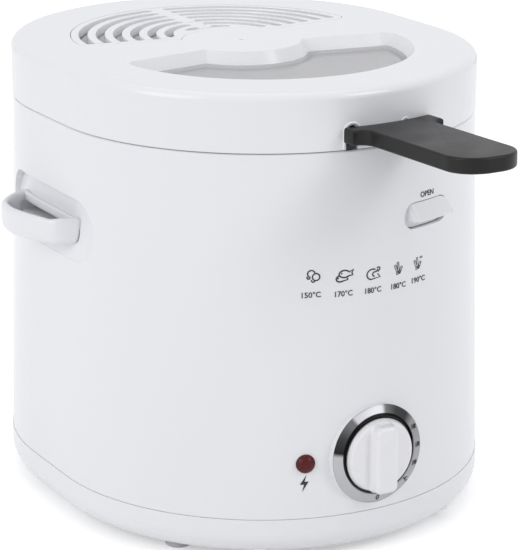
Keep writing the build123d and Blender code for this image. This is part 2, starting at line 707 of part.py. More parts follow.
# ---------------------------------------------------------------- dial
ring_back = dial_y
ring_profile = Polyline(
    (RING_IN_R, 0),
    (RING_OUT_R, 0),
    (RING_OUT_R, RING_THICK - 0.5),
    (RING_OUT_R - 0.5, RING_THICK),
    (RING_IN_R + 0.4, RING_THICK + RING_CROWN),
    (RING_IN_R, RING_THICK + RING_CROWN - 0.4),
    close=True,
)
dial_frame = Plane(origin=(0, ring_back, DIAL_Z), x_dir=(1, 0, 0), z_dir=(0, -1, 0))
ring_face = make_face(Plane.XZ * ring_profile)
dial_ring = dial_frame * revolve(ring_face, Axis.Z)
save("dial_ring", dial_ring)

ring_front = ring_back - RING_THICK - RING_CROWN
backing_disc = rod(RING_IN_R - 0.1, (0, ring_back, DIAL_Z), (0, ring_back - BACKING_THICK, DIAL_Z))
backing_disc -= rod(BUSH_R + SEAT_GAP, (0, ring_back + 1, DIAL_Z), (0, ring_back - 5, DIAL_Z))
save("dial_backing", backing_disc)

# ---------------------------------------------------------------- knob
skirt_back = ring_back - BACKING_THICK - 0.5
disc_front = ring_front - KNOB_STAND
bar_front = disc_front - BAR_STAND
knob = rod(KNOB_SKIRT_R, (0, skirt_back, DIAL_Z), (0, ring_front - KNOB_SKIRT, DIAL_Z))
disc = rod(KNOB_DISC_R, (0, ring_front - KNOB_SKIRT, DIAL_Z), (0, disc_front, DIAL_Z))
disc = fillet(disc.faces().sort_by(Axis.Y)[0].edges(), 1.2)
knob += disc
bar_mid = (BAR_UP - BAR_DOWN) / 2
bar_face = Plane.XZ * Pos(0, bar_mid) * RectangleRounded(BAR_WIDTH, BAR_UP + BAR_DOWN, 3)
bar = Pos(0, disc_front + 2, DIAL_Z) * extrude(bar_face, amount=BAR_STAND + 2, taper=4)
bar = fillet(bar.faces().sort_by(Axis.Y)[0].edges(), 1.2)
knob += bar
knob -= rod(KNOB_DISC_R - 2.4, (0, skirt_back + 1, DIAL_Z), (0, disc_front + 2, DIAL_Z))
hub_back = skirt_back
knob += rod(SHAFT_R + 2.5, (0, hub_back, DIAL_Z), (0, disc_front + 1, DIAL_Z))


def d_shaft(radius, y_in, y_out):
    shape = rod(radius, (0, y_in, DIAL_Z), (0, y_out, DIAL_Z))
    flat = radius - SHAFT_FLAT
    return shape - block((-9, min(y_in, y_out) - 1, DIAL_Z + flat), (9, hub_back + 1.5, DIAL_Z + 9))


shaft_out_y = disc_front - 1.5
knob -= d_shaft(SHAFT_R + FIT, hub_back + 2, shaft_out_y - SEAT_GAP)
save("knob", knob)
save("knob_shaft", d_shaft(SHAFT_R, shaft_in_y, shaft_out_y))

# ---------------------------------------------------------------- pilot lamp
lens = lamp_rod(LENS_R, -WALL - 2, 0.8)
cap_r = (LENS_R**2 + LENS_DOME**2) / (2 * LENS_DOME)
cap_centre = lamp_face + lamp_out * (0.8 + LENS_DOME - cap_r)
cap = Pos(*tuple(cap_centre)) * Sphere(cap_r)
lens += cap & lamp_rod(LENS_R, 0.8, 0.8 + LENS_DOME + 1)
lens += lamp_rod(LENS_R + 1.6, -WALL - 2.0, -WALL - 0.5)
save("lamp_lens", lens)

holder = lamp_rod(LAMP_BODY_R, -WALL - 2.3, -WALL - 2.3 - LAMP_BODY)
for side in (-1, 1):
    lug = Vector(math.cos(lamp_angle), math.sin(lamp_angle), 0) * (side * 2.4)
    a = lamp_face + lug + lamp_out * (-WALL - 2.3 - LAMP_BODY)
    b = a - lamp_out * 7
    holder += rod(0.8, tuple(a), tuple(b))
save("lamp_holder", holder)

# ---------------------------------------------------------------- rear services
def wall_layer(out_inset, in_inset):
    """Sheet that follows the housing's wall between two depths."""
    return body_prism(out_inset, SEAM_Z - 1, RIM_Z) - body_prism(in_inset, SEAM_Z - 2, RIM_Z + 1)


# the gland grips the wall between an outer and an inner plate and stands on the base
gland_foot = base_top + SEAT_GAP
gland_in = back_y - WALL - 2
gland_end = back_y + SEAT_GAP + GLAND_FLANGE + GLAND_TAIL
plate_disc = rod(GLAND_FLANGE_R, (0, gland_in - 8, GLAND_Z), (0, gland_end, GLAND_Z))
outer_plate = wall_layer(-SEAT_GAP - GLAND_FLANGE, -SEAT_GAP)
outer_plate &= plate_disc + gland_block(GLAND_FLANGE_R, gland_foot, GLAND_Z)
inner_plate = plate_disc & wall_layer(WALL + SEAT_GAP, WALL + SEAT_GAP + GLAND_INNER)
tongue = wall_layer(-SEAT_GAP - 0.5, WALL) & gland_block(GLAND_NECK_R, gland_foot, notch_top - SEAT_GAP)
gland = outer_plate + inner_plate + tongue
gland += rod(GLAND_NECK_R, (0, gland_in, GLAND_Z), (0, gland_end, GLAND_Z))
gland -= rod(GLAND_BORE_R, (0, gland_in - 1, GLAND_Z), (0, gland_end + 1, GLAND_Z))
save("cord_gland", gland)

block_y, block_x = 78, 34
block_z = FOOT_HEIGHT + WALL
terminal = block((block_x, block_y, block_z), (block_x + 30, block_y + 14, block_z + 13))
for i in range(3):
    x = block_x + 6 + i * 9
    terminal -= rod(2.2, (x, block_y + 7, block_z + 6), (x, block_y + 7, block_z + 20))
    terminal -= rod(1.8, (x, block_y - 1, block_z + 4), (x, block_y + 20, block_z + 4))
save("terminal_block", terminal)

# ---------------------------------------------------------------- hinge pin
hinge_pin = rod(PIN_R, (-pin_reach, hinge_y, HINGE_Z), (pin_reach, hinge_y, HINGE_Z))
save("hinge_pin", hinge_pin)

# ---------------------------------------------------------------- lid shell
lid = oval_prism(LID_HALF, LID_Z, TOP_Z)
lid = fillet(lid.faces().sort_by(Axis.Z)[-1].edges(), LID_EDGE)
web = [
    (hinge_y - HINGE_R, HINGE_Z),
    (hinge_y + HINGE_R, HINGE_Z),
    (hinge_y + HINGE_R, HINGE_Z + 6.5),
    (hinge_y - 6, LID_Z + 14),
    (116, LID_Z + 14),
    (116, LID_Z + 0.3),
    (hinge_y - HINGE_R, LID_Z + 0.3),
]
lid += side_profile(web, -KNUCKLE_HALF, KNUCKLE_HALF)
lid += rod(HINGE_R, (-KNUCKLE_HALF, hinge_y, HINGE_Z), (KNUCKLE_HALF, hinge_y, HINGE_Z))
cavity = oval_prism(LID_HALF - WALL, LID_Z - 1, PLATE_Z)
cavity = fillet(cavity.faces().sort_by(Axis.Z)[-1].edges(), LID_EDGE - 1.5)
lid -= cavity
lid -= rod(PIN_R + 0.06, (-KNUCKLE_HALF - 1, hinge_y, HINGE_Z), (KNUCKLE_HALF + 1, hinge_y, HINGE_Z))

# window: sloping sides, a step for the pane, and an opening
window_ledge_z = TOP_Z - WINDOW_LEDGE_DROP
lid += window_shape(-FRAME_WALL, window_ledge_z - 2, PLATE_Z + 1)
slope_z = TOP_Z - WINDOW_SLOPE_DEPTH
well = window_shape(WINDOW_SLOPE_IN, window_ledge_z, TOP_Z)
brim = well.faces().sort_by(Axis.Z)[-1].edges()
slope_top = rounded_outline(-1, WINDOW_OUT_R, WINDOW_HUB_R, WINDOW_SETBACK, 0)
slope_low = rounded_outline(-1, WINDOW_OUT_R, WINDOW_HUB_R, WINDOW_SETBACK, WINDOW_SLOPE_IN)
funnel = loft([Pos(0, 0, TOP_Z) * slope_top, Pos(0, 0, slope_z) * slope_low], ruled=True)
lid -= well
lid -= funnel
lid -= window_shape(WINDOW_LEDGE_IN, window_ledge_z - 3, window_ledge_z + 1)

# vent: a rebate for the cover, and a tray below it for the filter
cover_seat_z = TOP_Z - COVER_THICK
tray_low = TOP_Z - TRAY_DEPTH
lip_z = tray_low + 1.2
lid += vent_shape(-FRAME_WALL, tray_low, PLATE_Z + 1)
lid -= vent_shape(0, cover_seat_z, TOP_Z + 1)
lid -= vent_shape(COVER_LEDGE_IN, lip_z, TOP_Z)
lid -= vent_shape(TRAY_LIP, tray_low - 1, TOP_Z)

# bosses for the liner's screws
liner_top = LINER_Z + LINER_THICK
lid_bosses = [(sx * LID_BOSS_X, sy * LID_BOSS_Y) for sx in (-1, 1) for sy in (-1, 1)]
for x, y in lid_bosses:
    lid += rod(BOSS_R, (x, y, liner_top), (x, y, PLATE_Z + 0.5))
    lid -= rod(SCREW_R + FIT, (x, y, liner_top - 1), (x, y, liner_top + 12))

lid -= rod(1.2, (0, 0, TOP_Z - 0.4), (0, 0, TOP_Z + 1))

# slots in the skirt for the basket handle's two prongs, open at the bottom
prongs = [HANDLE_X - PRONG_OFFSET, HANDLE_X + PRONG_OFFSET]
for x, slot_top in zip(prongs, SKIRT_SLOT_TOPS):
    slot = Pos(x, 0, slot_top - SKIRT_SLOT_WIDTH / 2)
    arch = rod(SKIRT_SLOT_WIDTH / 2, (0, -140, 0), (0, -108, 0))
    legs_of_arch = block((-SKIRT_SLOT_WIDTH / 2, -140, -20), (SKIRT_SLOT_WIDTH / 2, -108, 0))
    lid -= slot * (arch + legs_of_arch)
save("lid_shell", lid)

# ---------------------------------------------------------------- window pane and seal
pane_low = window_ledge_z + SEAL_THICK
save("window_pane", window_shape(WINDOW_SLOPE_IN + SEAT_GAP, pane_low, pane_low + PANE_THICK))
seal = window_shape(WINDOW_SLOPE_IN + SEAT_GAP, window_ledge_z, pane_low)
seal -= window_shape(WINDOW_LEDGE_IN, window_ledge_z - 1, pane_low + 1)
save("window_seal", seal)


# ---------------------------------------------------------------- vent cover and filter
def arc_slot(radius, width, margin, low, high):
    """One vent slot: a ring sector cut short by the outline and the middle rib."""
    ring = Pos(0, END_CENTRE) * (Circle(radius + width / 2) - Circle(radius - width / 2))
    shape = ring & lid_outline(1, VENT_OUT_R + margin, VENT_HUB_R, VENT_SETBACK, margin)
    shape -= Rectangle(SLOT_RIB, 300)
    corner = width * 0.36
    pieces = [offset(offset(f, -corner), corner) for f in shape.faces() if f.area > 12]
    return [extrude(Pos(0, 0, low) * f, amount=high - low) for f in pieces]


cover = vent_shape(COVER_GAP, cover_seat_z, TOP_Z)
for i in range(SLOT_COUNT):
    slot_r = SLOT_FIRST_R - i * SLOT_PITCH
    for cutter in arc_slot(slot_r, SLOT_WIDTH, SLOT_MARGIN, cover_seat_z - 1, TOP_Z + 1):
        cover -= cutter
save("filter_cover", cover)

grid = vent_shape(COVER_LEDGE_IN + SEAT_GAP, lip_z, lip_z + GRID_THICK)
for i in range(SLOT_COUNT - 2):
    radius = SLOT_FIRST_R - 4 - i * SLOT_PITCH
    for cutter in arc_slot(radius, SLOT_WIDTH, TRAY_LIP + 2, lip_z - 1, lip_z + GRID_THICK + 1):
        grid -= cutter
save("filter_grid", grid)

mat = vent_shape(COVER_LEDGE_IN + MAT_AIR, lip_z + GRID_THICK + SEAT_GAP, cover_seat_z - SEAT_GAP)
save("filter_mat", mat)

# ---------------------------------------------------------------- lid liner, gasket, screws
liner = rod(LINER_R, (0, 0, LINER_Z), (0, 0, liner_top))
liner -= window_shape(WINDOW_LEDGE_IN, LINER_Z - 1, liner_top + 1)
hole_rows = ((45, 5), (57, 7), (69, 9))
for radius, count in hole_rows:
    for i in range(count):
        a = math.radians(90 + (i - (count - 1) / 2) * 14)
        x, y = radius * math.cos(a), radius * math.sin(a)
        liner -= rod(3.0, (x, y, LINER_Z - 1), (x, y, liner_top + 1))
for x, y in lid_bosses:
    liner -= rod(SCREW_R + 2 * FIT, (x, y, LINER_Z - 1), (x, y, liner_top + 1))
save("lid_liner", liner)

gasket_low = FLANGE_Z + SEAT_GAP
gasket = rod(GASKET_OUT_R, (0, 0, gasket_low), (0, 0, LINER_Z))
gasket -= rod(GASKET_IN_R, (0, 0, gasket_low - 1), (0, 0, LINER_Z + 1))
for x in prongs:
    gasket -= block((x - 4, -100, gasket_low - 1), (x + 4, -60, LINER_Z + 1))
for x, y in lid_bosses:
    gasket -= rod(SCREW_HEAD_R + 0.4, (x, y, gasket_low - 1), (x, y, LINER_Z + 1))
save("lid_gasket", gasket)
lid_screws = [screw(x, y, LINER_Z, 12) for x, y in lid_bosses]
save("lid_screws", Compound(lid_screws))

# ---------------------------------------------------------------- catch on the lid
stem_low_y = catch_front + CATCH_BARB
stem_high_y = stem_low_y + CATCH_THICK
catch_side = [
    (stem_low_y, PLATE_Z),
    (stem_low_y, CATCH_FOOT_Z + 4.5),
    (catch_front, CATCH_FOOT_Z + 4.5),
    (catch_front, CATCH_FOOT_Z + 3),
    (stem_low_y, CATCH_FOOT_Z),
    (stem_high_y, CATCH_FOOT_Z),
    (stem_high_y, PLATE_Z - 2),
    (stem_high_y + 6, PLATE_Z - 2),
    (stem_high_y + 6, PLATE_Z),
]
save("lid_catch", side_profile(catch_side, latch_low_x + 0.5, latch_high_x - 0.5))

# ---------------------------------------------------------------- latch lever
lever_side = [
    (LATCH_Y - LATCH_FRONT, LATCH_Z - LATCH_DOWN),
    (LATCH_Y - LATCH_FRONT, LATCH_Z + LATCH_UP),
    (LATCH_Y + NOSE_REACH - 1, LATCH_Z + LATCH_UP),
    (LATCH_Y + NOSE_REACH, LATCH_Z + LATCH_UP - 1.2),
    (LATCH_Y + NOSE_REACH, LATCH_Z + LATCH_UP - NOSE_HEIGHT),
    (LATCH_Y + LATCH_BACK, LATCH_Z + LATCH_UP - NOSE_HEIGHT),
    (LATCH_Y + LATCH_BACK, LATCH_Z - LATCH_DOWN),
]
lever = side_profile(lever_side, latch_low_x, latch_high_x)
lever += rod(3.4, (latch_low_x, LATCH_Y, LATCH_Z), (latch_high_x, LATCH_Y, LATCH_Z))
lever -= rod(PIN_R + FIT, (latch_low_x - 1, LATCH_Y, LATCH_Z), (latch_high_x + 1, LATCH_Y, LATCH_Z))
save("latch_lever", lever)

latch_pin_reach = 0.4 + ear_thick - 0.2
pin_low_x, pin_high_x = latch_low_x - latch_pin_reach, latch_high_x + latch_pin_reach
latch_pin = rod(PIN_R, (pin_low_x, LATCH_Y, LATCH_Z), (pin_high_x, LATCH_Y, LATCH_Z))
save("latch_pin", latch_pin)

# ---------------------------------------------------------------- release button
lean = math.degrees(math.asin(BUTTON_X / body_half(BUTTON_Z)))
button = button_prism(BUTTON_WIDTH, BUTTON_HEIGHT, button_y - 20, button_y + 12)
flange = button_prism(BUTTON_WIDTH + 5, BUTTON_HEIGHT, button_y - 10, button_y + 20)
flange &= body_prism(WALL + 0.4, BUTTON_Z - 20, BUTTON_Z + 20)
flange -= body_prism(WALL + 2, BUTTON_Z - 21, BUTTON_Z + 21)
button -= body_prism(WALL + 2, BUTTON_Z - 20, BUTTON_Z + 20)
half_h = BUTTON_HEIGHT / 2
wedge_side = [
    (-0.3, half_h + 1),
    (-0.3, half_h - 0.8),
    (-BUTTON_STAND, -half_h * 0.42),
    (0.2, -half_h - 1),
    (20, -half_h - 1),
    (20, half_h + 1),
]
wedge = side_profile(wedge_side, -40, 40)
button &= Pos(BUTTON_X, button_y, BUTTON_Z) * Rot(0, 0, lean) * wedge
button += flange
plunger_tip = LATCH_Y - LATCH_FRONT - SEAT_GAP
plunger_mid = LATCH_Z - 11.5
plunger_low, plunger_high = plunger_mid - PLUNGER_HEIGHT / 2, plunger_mid + PLUNGER_HEIGHT / 2
plunger = block((LATCH_X - 3, button_y, plunger_low), (LATCH_X + 3, plunger_tip, plunger_high))
plunger &= body_prism(WALL + 1.5, BUTTON_Z - 20, BUTTON_Z + 20)
button += plunger
save("release_button", button)

# ---------------------------------------------------------------- springs


def coil(radius, wire, start, length, turns):
    """Compression spring along +Y from a start point."""
    helix = Helix(pitch=length / turns, height=length, radius=radius)
    wire_face = Plane(origin=helix @ 0, z_dir=helix % 0) * Rectangle(wire, wire)
    spring = sweep(wire_face, path=helix, is_frenet=True)
    return Pos(*start) * Rot(-90, 0, 0) * spring


button_back = front_y(spring_x, body_half(BUTTON_Z) - WALL - 2)
button_spring_low = button_back + 1.2
button_spring_length = seat_y - button_spring_low - 0.7
save("button_spring", coil(2.8, 0.8, (spring_x, button_spring_low, BUTTON_Z), button_spring_length, 5))
latch_spring_low = front_y(LATCH_X, body_half(LATCH_Z + 7.5) - WALL) + 1.6
latch_spring_length = LATCH_Y - LATCH_FRONT - latch_spring_low - 0.6
save("latch_spring", coil(2.2, 0.6, (LATCH_X, latch_spring_low, LATCH_Z + 7.2), latch_spring_length, 3))

# ---------------------------------------------------------------- basket
basket_outer = Polyline(
    (0, 0, BASKET_FLOOR_Z),
    (BASKET_BOTTOM_R, 0, BASKET_FLOOR_Z),
    (BASKET_TOP_R, 0, BASKET_RIM_Z),
    (BASKET_TOP_R - BASKET_WALL, 0, BASKET_RIM_Z),
    (BASKET_BOTTOM_R - BASKET_WALL, 0, BASKET_FLOOR_Z + BASKET_WALL),
    (0, 0, BASKET_FLOOR_Z + BASKET_WALL),
    close=True,
)
mesh_face = make_face(basket_outer)
corner = mesh_face.vertices().sort_by_distance((BASKET_BOTTOM_R, 0, BASKET_FLOOR_Z))[0]
mesh_face = fillet(corner, BASKET_CORNER)
inner_point = (BASKET_BOTTOM_R - BASKET_WALL, 0, BASKET_FLOOR_Z + BASKET_WALL)
corner = mesh_face.vertices().sort_by_distance(inner_point)[0]
mesh_face = fillet(corner, BASKET_CORNER - BASKET_WALL)
save("basket_mesh", revolve(mesh_face, Axis.Z))

rim_r = BASKET_TOP_R + SEAT_GAP + RIM_WIRE / 2
rim_face = Plane.XZ * Pos(rim_r, BASKET_RIM_Z) * RegularPolygon(RIM_WIRE / 2, 8)
frame = revolve(rim_face, Axis.Z)
slant = (BASKET_TOP_R - BASKET_BOTTOM_R) / (BASKET_RIM_Z - BASKET_FLOOR_Z)
pot_floor = POT_BASE_Z + POT_WALL
rib_foot = pot_floor + SEAT_GAP
rib_low_r = BASKET_BOTTOM_R + slant * BASKET_CORNER + SEAT_GAP
rib_outline = [
    (rib_low_r, BASKET_FLOOR_Z + BASKET_CORNER - 4),
    (BASKET_TOP_R + SEAT_GAP, BASKET_RIM_Z),
    (BASKET_TOP_R + SEAT_GAP + RIB_THICK, BASKET_RIM_Z),
    (rib_low_r + RIB_THICK, BASKET_FLOOR_Z + BASKET_CORNER - 4),
    (rib_low_r + RIB_THICK - 4, rib_foot + 4),
    (rib_low_r - 8, rib_foot),
    (rib_low_r - 12, rib_foot),
    (rib_low_r - 4, rib_foot + 6),
]
rib_face = make_face(Polyline(*[(r, 0, z) for r, z in rib_outline], close=True))
for i in range(RIB_COUNT):
    rib = revolve(rib_face, Axis.Z, revolution_arc=RIB_DEG)
    frame += Rot(0, 0, (i + 0.5) * 360 / RIB_COUNT - RIB_DEG / 2) * rib
foot_ring = Plane.XZ * Pos(rib_low_r - 10, rib_foot + 1.2) * RegularPolygon(1.2, 6)
frame += revolve(foot_ring, Axis.Z)
save("basket_frame", frame)

# two steel strips from the handle's prongs over the pot's flange to the rim
strips = []
for x in prongs:
    rim_outer = rim_r + RIM_WIRE / 2 + SEAT_GAP
    end_y = -math.sqrt(rim_outer**2 - (abs(x) - STRIP_WIDTH / 2) ** 2)
    drop_y = -math.sqrt((POT_TOP_R - POT_WALL) ** 2 - (abs(x) + STRIP_WIDTH / 2) ** 2) + 0.7
    path = [
        (PRONG_IN_Y - 8, STRIP_HIGH_Z),
        (PRONG_IN_Y + 1, STRIP_HIGH_Z),
        (PRONG_IN_Y + 8, STRIP_LOW_Z),
        (drop_y, STRIP_LOW_Z),
        (end_y - 2.0, BASKET_RIM_Z + 6),
        (end_y - 2.0, BASKET_RIM_Z - 8),
        (end_y, BASKET_RIM_Z - 8),
        (end_y, BASKET_RIM_Z + 7),
        (drop_y + 1.2, STRIP_LOW_Z + STRIP_THICK),
        (PRONG_IN_Y + 8.6, STRIP_LOW_Z + STRIP_THICK),
        (PRONG_IN_Y + 1.6, STRIP_HIGH_Z + STRIP_THICK),
        (PRONG_IN_Y - 8, STRIP_HIGH_Z + STRIP_THICK),
    ]
    strip = side_profile(path, x - STRIP_WIDTH / 2, x + STRIP_WIDTH / 2)
    strip -= rod(RIVET_R + FIT, (x, PRONG_IN_Y - 4.5, PRONG_LOW), (x, PRONG_IN_Y - 4.5, PRONG_HIGH))
    strips.append(strip)
save("basket_bracket", Compound(strips))

# ---------------------------------------------------------------- basket handle
bar_depth = ROOT_BACK_Y - ROOT_FRONT_Y
outline = Pos(0, (ROOT_BACK_Y + PADDLE_TIP_Y) / 2) * Rectangle(2 * PADDLE_HALF, ROOT_BACK_Y - PADDLE_TIP_Y)
outline += Pos(0, ROOT_FRONT_Y + bar_depth / 2) * Rectangle(2 * ROOT_HALF, bar_depth)
tips = outline.vertices().sort_by(Axis.Y)[:2]
outline = fillet(tips, PADDLE_CORNER)
necks = outline.vertices().filter_by(lambda v: abs(abs(v.X) - PADDLE_HALF) < 0.1 and v.Y > ROOT_FRONT_Y - 1)
outline = fillet(necks, 6)
tilt_frame = Pos(HANDLE_X, ROOT_FRONT_Y, PADDLE_TOP_Z) * Rot(-PADDLE_TILT, 0, 0) * Pos(0, -ROOT_FRONT_Y, 0)
paddle = extrude(outline, amount=-PADDLE_THICK)
rims = paddle.faces().sort_by(Axis.Z)[-1].edges() + paddle.faces().sort_by(Axis.Z)[0].edges()
paddle = fillet(rims, 1.2)
handle = tilt_frame * paddle
handle -= rod(LID_HALF + ROOT_AIR, (0, -END_CENTRE, RIM_Z), (0, -END_CENTRE, TOP_Z))
for x in prongs:
    low, high = x - PRONG_WIDTH / 2, x + PRONG_WIDTH / 2
    lid_front = front_y(abs(x) + PRONG_WIDTH / 2, LID_HALF)
    handle += block((low, ROOT_FRONT_Y + 2, PRONG_LOW + PRONG_NECK), (high, PRONG_IN_Y, PRONG_HIGH))
    handle += block((low, lid_front + 0.4, PRONG_LOW), (high, PRONG_IN_Y, PRONG_HIGH))
    strip_low, strip_high = STRIP_HIGH_Z - 0.1, STRIP_HIGH_Z + STRIP_THICK + 0.1
    handle -= block((low - 1, PRONG_IN_Y - 8.3, strip_low), (high + 1, PRONG_IN_Y + 1, strip_high))
    handle -= rod(RIVET_R + FIT, (x, PRONG_IN_Y - 4.5, PRONG_LOW - 1), (x, PRONG_IN_Y - 4.5, PRONG_HIGH + 1))
save("basket_handle", handle)

rivet_y = PRONG_IN_Y - 4.5
rivets = [rod(RIVET_R, (x, rivet_y, PRONG_LOW + 0.2), (x, rivet_y, PRONG_HIGH - 0.2)) for x in prongs]
save("handle_rivets", Compound(rivets))
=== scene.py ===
import math

import bmesh
import bpy
from mathutils import Matrix, Vector


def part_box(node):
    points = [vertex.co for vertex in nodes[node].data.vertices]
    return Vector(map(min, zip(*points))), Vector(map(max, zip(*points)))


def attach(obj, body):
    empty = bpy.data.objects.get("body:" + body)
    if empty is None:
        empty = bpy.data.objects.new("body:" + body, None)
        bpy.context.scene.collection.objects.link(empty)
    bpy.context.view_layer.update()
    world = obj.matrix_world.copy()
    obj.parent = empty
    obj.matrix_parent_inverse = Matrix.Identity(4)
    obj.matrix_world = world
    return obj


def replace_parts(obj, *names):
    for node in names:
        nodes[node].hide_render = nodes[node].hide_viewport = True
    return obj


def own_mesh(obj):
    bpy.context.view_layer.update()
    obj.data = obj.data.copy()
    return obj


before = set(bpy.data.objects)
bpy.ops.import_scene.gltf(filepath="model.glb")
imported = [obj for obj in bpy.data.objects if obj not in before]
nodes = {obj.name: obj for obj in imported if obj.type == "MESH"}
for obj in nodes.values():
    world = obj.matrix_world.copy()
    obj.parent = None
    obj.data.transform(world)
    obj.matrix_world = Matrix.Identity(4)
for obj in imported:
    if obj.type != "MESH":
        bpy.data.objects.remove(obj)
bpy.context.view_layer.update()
MM = 0.001


def box_mm(node):
    """A CAD piece's lowest and highest corners, in mm."""
    return [Vector(corner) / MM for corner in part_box(node)]


# ---------------------------------------------------------------- the fryer's own sizes, in mm
END_CENTRE = 19.7         # from the middle to the centre of each round end
BODY_HALF = 105.65        # the housing's half width at its rim
TAPER_TAN = math.tan(math.radians(1.62))
RIM_Z = 199.4
LID_Z = 200.0
LID_HALF = 106.0
RING_IN_R = 19.3
RING_OUT_R = 24.5
RING_OUTER_LIP = 0.5
RING_INNER_LIP = 0.4
RING_THICK = 1.0
RING_CROWN = 1.8
BASKET_RIM_Z = 186.0
BASKET_FLOOR_Z = 97.0
BASKET_TOP_R = 70.0
BASKET_BOTTOM_R = 65.0
SLOT_HALF = 3.0
LEFT_SLOT_X = -13.0
LEFT_SLOT_TOP = 211.4

ring_low, ring_high = box_mm("dial_ring")
DIAL_Z = (ring_low.z + ring_high.z) / 2
DIAL_FACE_Y = ring_high.y


def round_point(half, x, z, off):
    """A point on a round front end of a given half width, pushed outwards by off."""
    angle = math.asin(x / half)
    reach = half + off
    return Vector((reach * math.sin(angle), -END_CENTRE - reach * math.cos(angle), z))


def wall_point(x, z, off=0.0):
    """A point on the front of the housing, which widens downwards."""
    return round_point(BODY_HALF + TAPER_TAN * (RIM_Z - z), x, z, off)


def skirt_point(x, z, off=0.0):
    """A point on the front of the lid's skirt."""
    return round_point(LID_HALF, x, z, off)


def ring_stand(radius):
    """How far the dial ring's sloped face stands out at a radius."""
    slope_from = RING_OUT_R - RING_OUTER_LIP
    share = (slope_from - radius) / (slope_from - RING_IN_R - RING_INNER_LIP)
    return RING_THICK + RING_CROWN * share


# ---------------------------------------------------------------- nodes
def set_inputs(tree, node, inputs):
    """Links each input whose value is another node's socket, and sets the others."""
    for label, value in inputs.items():
        if isinstance(value, bpy.types.NodeSocket):
            tree.links.new(value, node.inputs[label])
        else:
            node.inputs[label].default_value = value


def add_node(tree, kind, inputs=None, **settings):
    node = tree.nodes.new(kind)
    for setting, value in settings.items():
        setattr(node, setting, value)
    set_inputs(tree, node, inputs or {})
    return node


def maths(tree, operation, *values):
    return add_node(tree, "ShaderNodeMath", dict(enumerate(values)), operation=operation).outputs[0]


def ranged(tree, value, to_low, to_high, from_low=0.0, from_high=1.0):
    """A value carried from one range to another."""
    limits = {"From Min": from_low, "From Max": from_high, "To Min": to_low, "To Max": to_high}
    return add_node(tree, "ShaderNodeMapRange", {"Value": value, **limits}).outputs["Result"]


def vector(tree, **parts):
    return add_node(tree, "ShaderNodeCombineXYZ", parts).outputs[0]


def new_material(name):
    material = bpy.data.materials.new(name)
    material.use_nodes = True
    return material, material.node_tree, material.node_tree.nodes["Principled BSDF"]


# ---------------------------------------------------------------- shader groups
NOISE_LOW, NOISE_HIGH = 0.3, 0.7      # nearly all of a noise lies between these


def surface_group(name, pattern_inputs):
    """An empty group with the inputs and outputs that every finish has."""
    tree = bpy.data.node_groups.new(name, "ShaderNodeTree")
    inputs = (
        ("Coordinates", "NodeSocketVector", (0, 0, 0)),
        ("Tint", "NodeSocketColor", (0.8, 0.8, 0.8, 1)),
        ("Shade", "NodeSocketColor", (0.7, 0.7, 0.7, 1)),
        ("Roughness low", "NodeSocketFloat", 0.2),
        ("Roughness high", "NodeSocketFloat", 0.3),
    )
    for label, kind, value in inputs + pattern_inputs:
        socket = tree.interface.new_socket(label, in_out="INPUT", socket_type=kind)
        socket.default_value = value
    tree.interface.new_socket("Color", in_out="OUTPUT", socket_type="NodeSocketColor")
    tree.interface.new_socket("Roughness", in_out="OUTPUT", socket_type="NodeSocketFloat")
    tree.interface.new_socket("Height", in_out="OUTPUT", socket_type="NodeSocketFloat")
    return tree, tree.nodes.new("NodeGroupInput").outputs


def close_group(tree, given, pattern, relief):
    """Mixes the two colours and the roughness by a pattern, and gives out the relief's height."""
    colours = {"Factor": pattern, "A": given["Tint"], "B": given["Shade"]}
    mix = add_node(tree, "ShaderNodeMix", colours, data_type="RGBA")
    rough = ranged(
        tree, pattern, given["Roughness low"], given["Roughness high"], NOISE_LOW, NOISE_HIGH
    )
    results = {"Color": mix.outputs["Result"], "Roughness": rough, "Height": relief}
    add_node(tree, "NodeGroupOutput", results)


def moulded_surface_group():
    """Slight flow variation and dust-fine grain, as on moulded plastic."""
    tree, given = surface_group("Moulded surface", (
        ("Grain per metre", "NodeSocketFloat", 900.0),
        ("Flow per metre", "NodeSocketFloat", 9.0),
    ))
    grain, flow = (
        add_node(tree, "ShaderNodeTexNoise", {
            "Vector": given["Coordinates"], "Scale": given[scale], "Detail": detail,
        }).outputs["Fac"]
        for scale, detail in (("Grain per metre", 2.0), ("Flow per metre", 3.0))
    )
    close_group(tree, given, flow, grain)
    return tree


def drawn_lines_group():
    """Fine lines along one axis, as on rolled sheet, drawn wire and spun discs."""
    tree, given = surface_group("Drawn lines", (
        ("Lines per metre", "NodeSocketVector", (4000, 60, 60)),
    ))
    stretch = add_node(
        tree, "ShaderNodeVectorMath", {0: given["Coordinates"], 1: given["Lines per metre"]},
        operation="MULTIPLY",
    )
    lines = add_node(tree, "ShaderNodeTexNoise", {
        "Vector": stretch.outputs["Vector"], "Scale": 1.0, "Detail": 3.0,
    }).outputs["Fac"]
    close_group(tree, given, lines, lines)
    return tree


MOULDED = moulded_surface_group()
DRAWN = drawn_lines_group()
RELIEF_DEPTH = 0.0001


# ---------------------------------------------------------------- finishes
def finish(name, group, tint, shade, rough, pattern, bump, depth, **sockets):
    """A material that takes colour, roughness and relief from one shader group."""
    material, tree, shader = new_material(name)
    place = tree.nodes.new("ShaderNodeTexCoord")
    effect = add_node(tree, "ShaderNodeGroup", {
        "Coordinates": place.outputs["Object"],
        "Tint": (*tint, 1),
        "Shade": (*shade, 1),
        "Roughness low": rough[0],
        "Roughness high": rough[1],
        **pattern,
    }, node_tree=group).outputs
    relief = add_node(tree, "ShaderNodeBump", {
        "Strength": bump, "Distance": depth, "Height": effect["Height"],
    })
    set_inputs(tree, shader, {
        "Base Color": effect["Color"],
        "Roughness": effect["Roughness"],
        "Normal": relief.outputs["Normal"],
        **sockets,
    })
    return material


